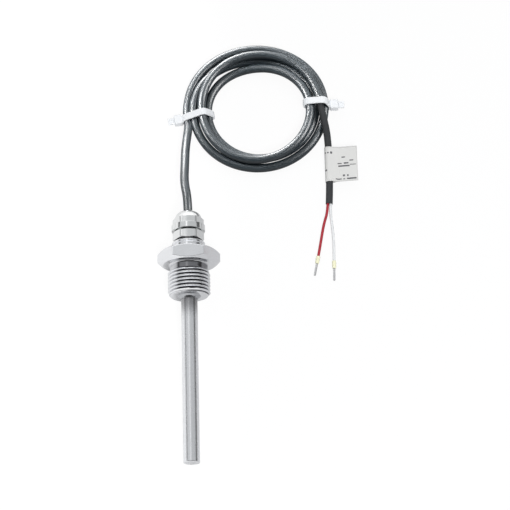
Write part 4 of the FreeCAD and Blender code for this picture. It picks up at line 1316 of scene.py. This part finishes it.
# %% Label film and piece
FILM_WHITE = ((0.66, 0.66, 0.65), (0.71, 0.71, 0.70))
FILM_GRAIN = 4000.0
RULE_INK = (0.10, 0.10, 0.11)
# Left, right, lower and upper edge of each rule, as shares of the strip
LABEL_RULES = [
    (0.355, 0.385, 0.79, 0.85),
    (0.405, 0.425, 0.80, 0.84),
    (0.445, 0.465, 0.80, 0.84),
    (0.435, 0.470, 0.29, 0.34),
    (0.170, 0.220, 0.68, 0.71),
    (0.055, 0.110, 0.58, 0.61),
    (0.125, 0.190, 0.50, 0.54),
    (0.220, 0.280, 0.50, 0.53),
    (0.110, 0.270, 0.42, 0.46),
    (0.020, 0.105, 0.46, 0.48),
    (0.130, 0.150, 0.13, 0.19),
    (0.180, 0.210, 0.14, 0.19),
    (0.020, 0.155, 0.05, 0.09),
    (0.180, 0.205, 0.05, 0.08),
    (0.230, 0.315, 0.05, 0.08),
]


def label_material():
    """White film with a few printed grey rules, placed by the strip's own UV map."""
    material, tree, surface = start_material("label_film")
    coordinates = add_node(tree, "ShaderNodeTexCoord").outputs
    u, v, _ = split(tree, coordinates["UV"])
    ink = None
    for left, right, low, high in LABEL_RULES:
        beside = math_node(tree, "COMPARE", u, (left + right) / 2, (right - left) / 2)
        level = math_node(tree, "COMPARE", v, (low + high) / 2, (high - low) / 2)
        rule = math_node(tree, "MULTIPLY", beside, level)
        ink = rule if ink is None else math_node(tree, "MAXIMUM", ink, rule)
    grain = add_node(tree, "ShaderNodeGroup", {"node_tree": GRAIN}, {
        "Vector": coordinates["Object"], "Fine scale": FILM_GRAIN, "Roughness": 0.45, "Spread": 0.1})
    put_finish(tree, surface, grain, FILM_WHITE, (0.1, 0.01))
    darken(tree, surface, ink, RULE_INK)
    return material


label = add_piece("label_skin", label_mesh(), label_material(), "label_film", "label_flag")
thickness = label.modifiers.new("film", "SOLIDIFY")
thickness.thickness = LABEL_PLY * MM
thickness.offset = 1

# %% [markdown]
# ## Ferrules
# Each wire ends in a crimped ferrule: a coloured collar that takes the insulation and a tinned pin.
# They are small turned pieces at the end of a wire's route, so the same outline tool makes them, and
# only the pose differs.

# %% Ferrule pieces
COLLAR_GRIP = 2.6
COLLAR_END = 1.4
COLLAR_BORE = 0.75
COLLAR_RADIUS = 1.05
COLLAR_NOSE = 0.85
PIN_LENGTH = 6.5
PIN_ROOT = 0.65
PIN_RADIUS = 0.55
ferrule_angles = round_angles(40)
collar_outline = [
    (COLLAR_BORE, -COLLAR_GRIP, 0.05),
    (COLLAR_RADIUS, -COLLAR_GRIP, 0.1),
    (COLLAR_RADIUS, 0, 0.4),
    (COLLAR_NOSE, COLLAR_END, 0.15),
    (PIN_ROOT, COLLAR_END, 0),
    (PIN_ROOT, 0, 0),
    (COLLAR_BORE, 0, 0),
]
pin_outline = [
    (0, 0, 0),
    (PIN_ROOT, 0, 0),
    (PIN_ROOT, COLLAR_END, 0),
    (PIN_RADIUS, COLLAR_END, 0),
    (PIN_RADIUS, COLLAR_END + PIN_LENGTH, 0.18),
    (0, COLLAR_END + PIN_LENGTH, 0),
]


def ferrule(colour, route):
    """Collar and pin in line with the last run of a wire's route."""
    way = (route[-1] - route[-2]).normalized()
    stand = Matrix.Translation(route[-1]) @ way.to_track_quat("Z", "Y").to_matrix().to_4x4()
    pieces = []
    for part, outline, material, slot, closed in (
        ("collar", collar_outline, COLLAR_PLASTIC, "collar_plastic", True),
        ("pin", pin_outline, PIN_TIN, "tinned_copper", False),
    ):
        mesh = turned_mesh(f"{colour}_{part}_skin", outline, ferrule_angles, closed)
        clean(mesh)
        mesh.transform(stand)
        pieces.append(add_piece(mesh.name, mesh, material, slot, f"{colour}_ferrule_{part}"))
    return pieces


red_ferrule = ferrule("red", red_route)
white_ferrule = ferrule("white", white_route)

# %% [markdown]
# ## Pieces inside
# The seal, its cage, the sensing chip and the wiring lie inside and keep their solids' shapes. They only
# need their finishes.

# %% Finishes of the solids that stay
INNER_FINISHES = {
    "gland_seal": SEAL_RUBBER,
    "gland_clamp_cage": CAGE_NYLON,
    "sensing_chip": CHIP_CERAMIC,
    "chip_leads": BARE_WIRE,
    "splice_sleeves": SPLICE_PLASTIC,
    "thermal_filler": HEAT_PASTE,
    "red_core": RED_PLASTIC,
    "white_core": WHITE_PLASTIC,
    "cable_inlet": CABLE_JACKET,
}
for node, material in INNER_FINISHES.items():
    slots = frame["nodes"][node].data.materials
    slots.clear()
    slots.append(material)
for piece, material in (
    (cable, CABLE_JACKET),
    (sleeve, SLEEVE_PLASTIC),
    (red_lead, RED_PLASTIC),
    (white_lead, WHITE_PLASTIC),
):
    piece.data.materials.append(material)
print(len(INNER_FINISHES), "inner solids finished")

# %% Cords onto the body, in place of their solids
cords = [
    (cable, ("cable_lead", "cable_coil"), "black_jacket", 0.72, CABLE_DIA, "coiled", cable_route[0]),
    (sleeve, ("end_sleeve",), "sleeve_plastic", 0.058, SLEEVE_DIA, "loose", sleeve_route[0]),
    (red_lead, ("red_lead",), "red_insulation", 0.0318, LEAD_DIA, "loose", red_route[0]),
    (white_lead, ("white_lead",), "white_insulation", 0.0339, LEAD_DIA, "loose", white_route[0]),
]
for piece, nodes, slot, length, diameter, lay, leaves in cords:
    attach(piece, "root")
    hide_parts(*nodes)
print(len(cords), "cords handed over")
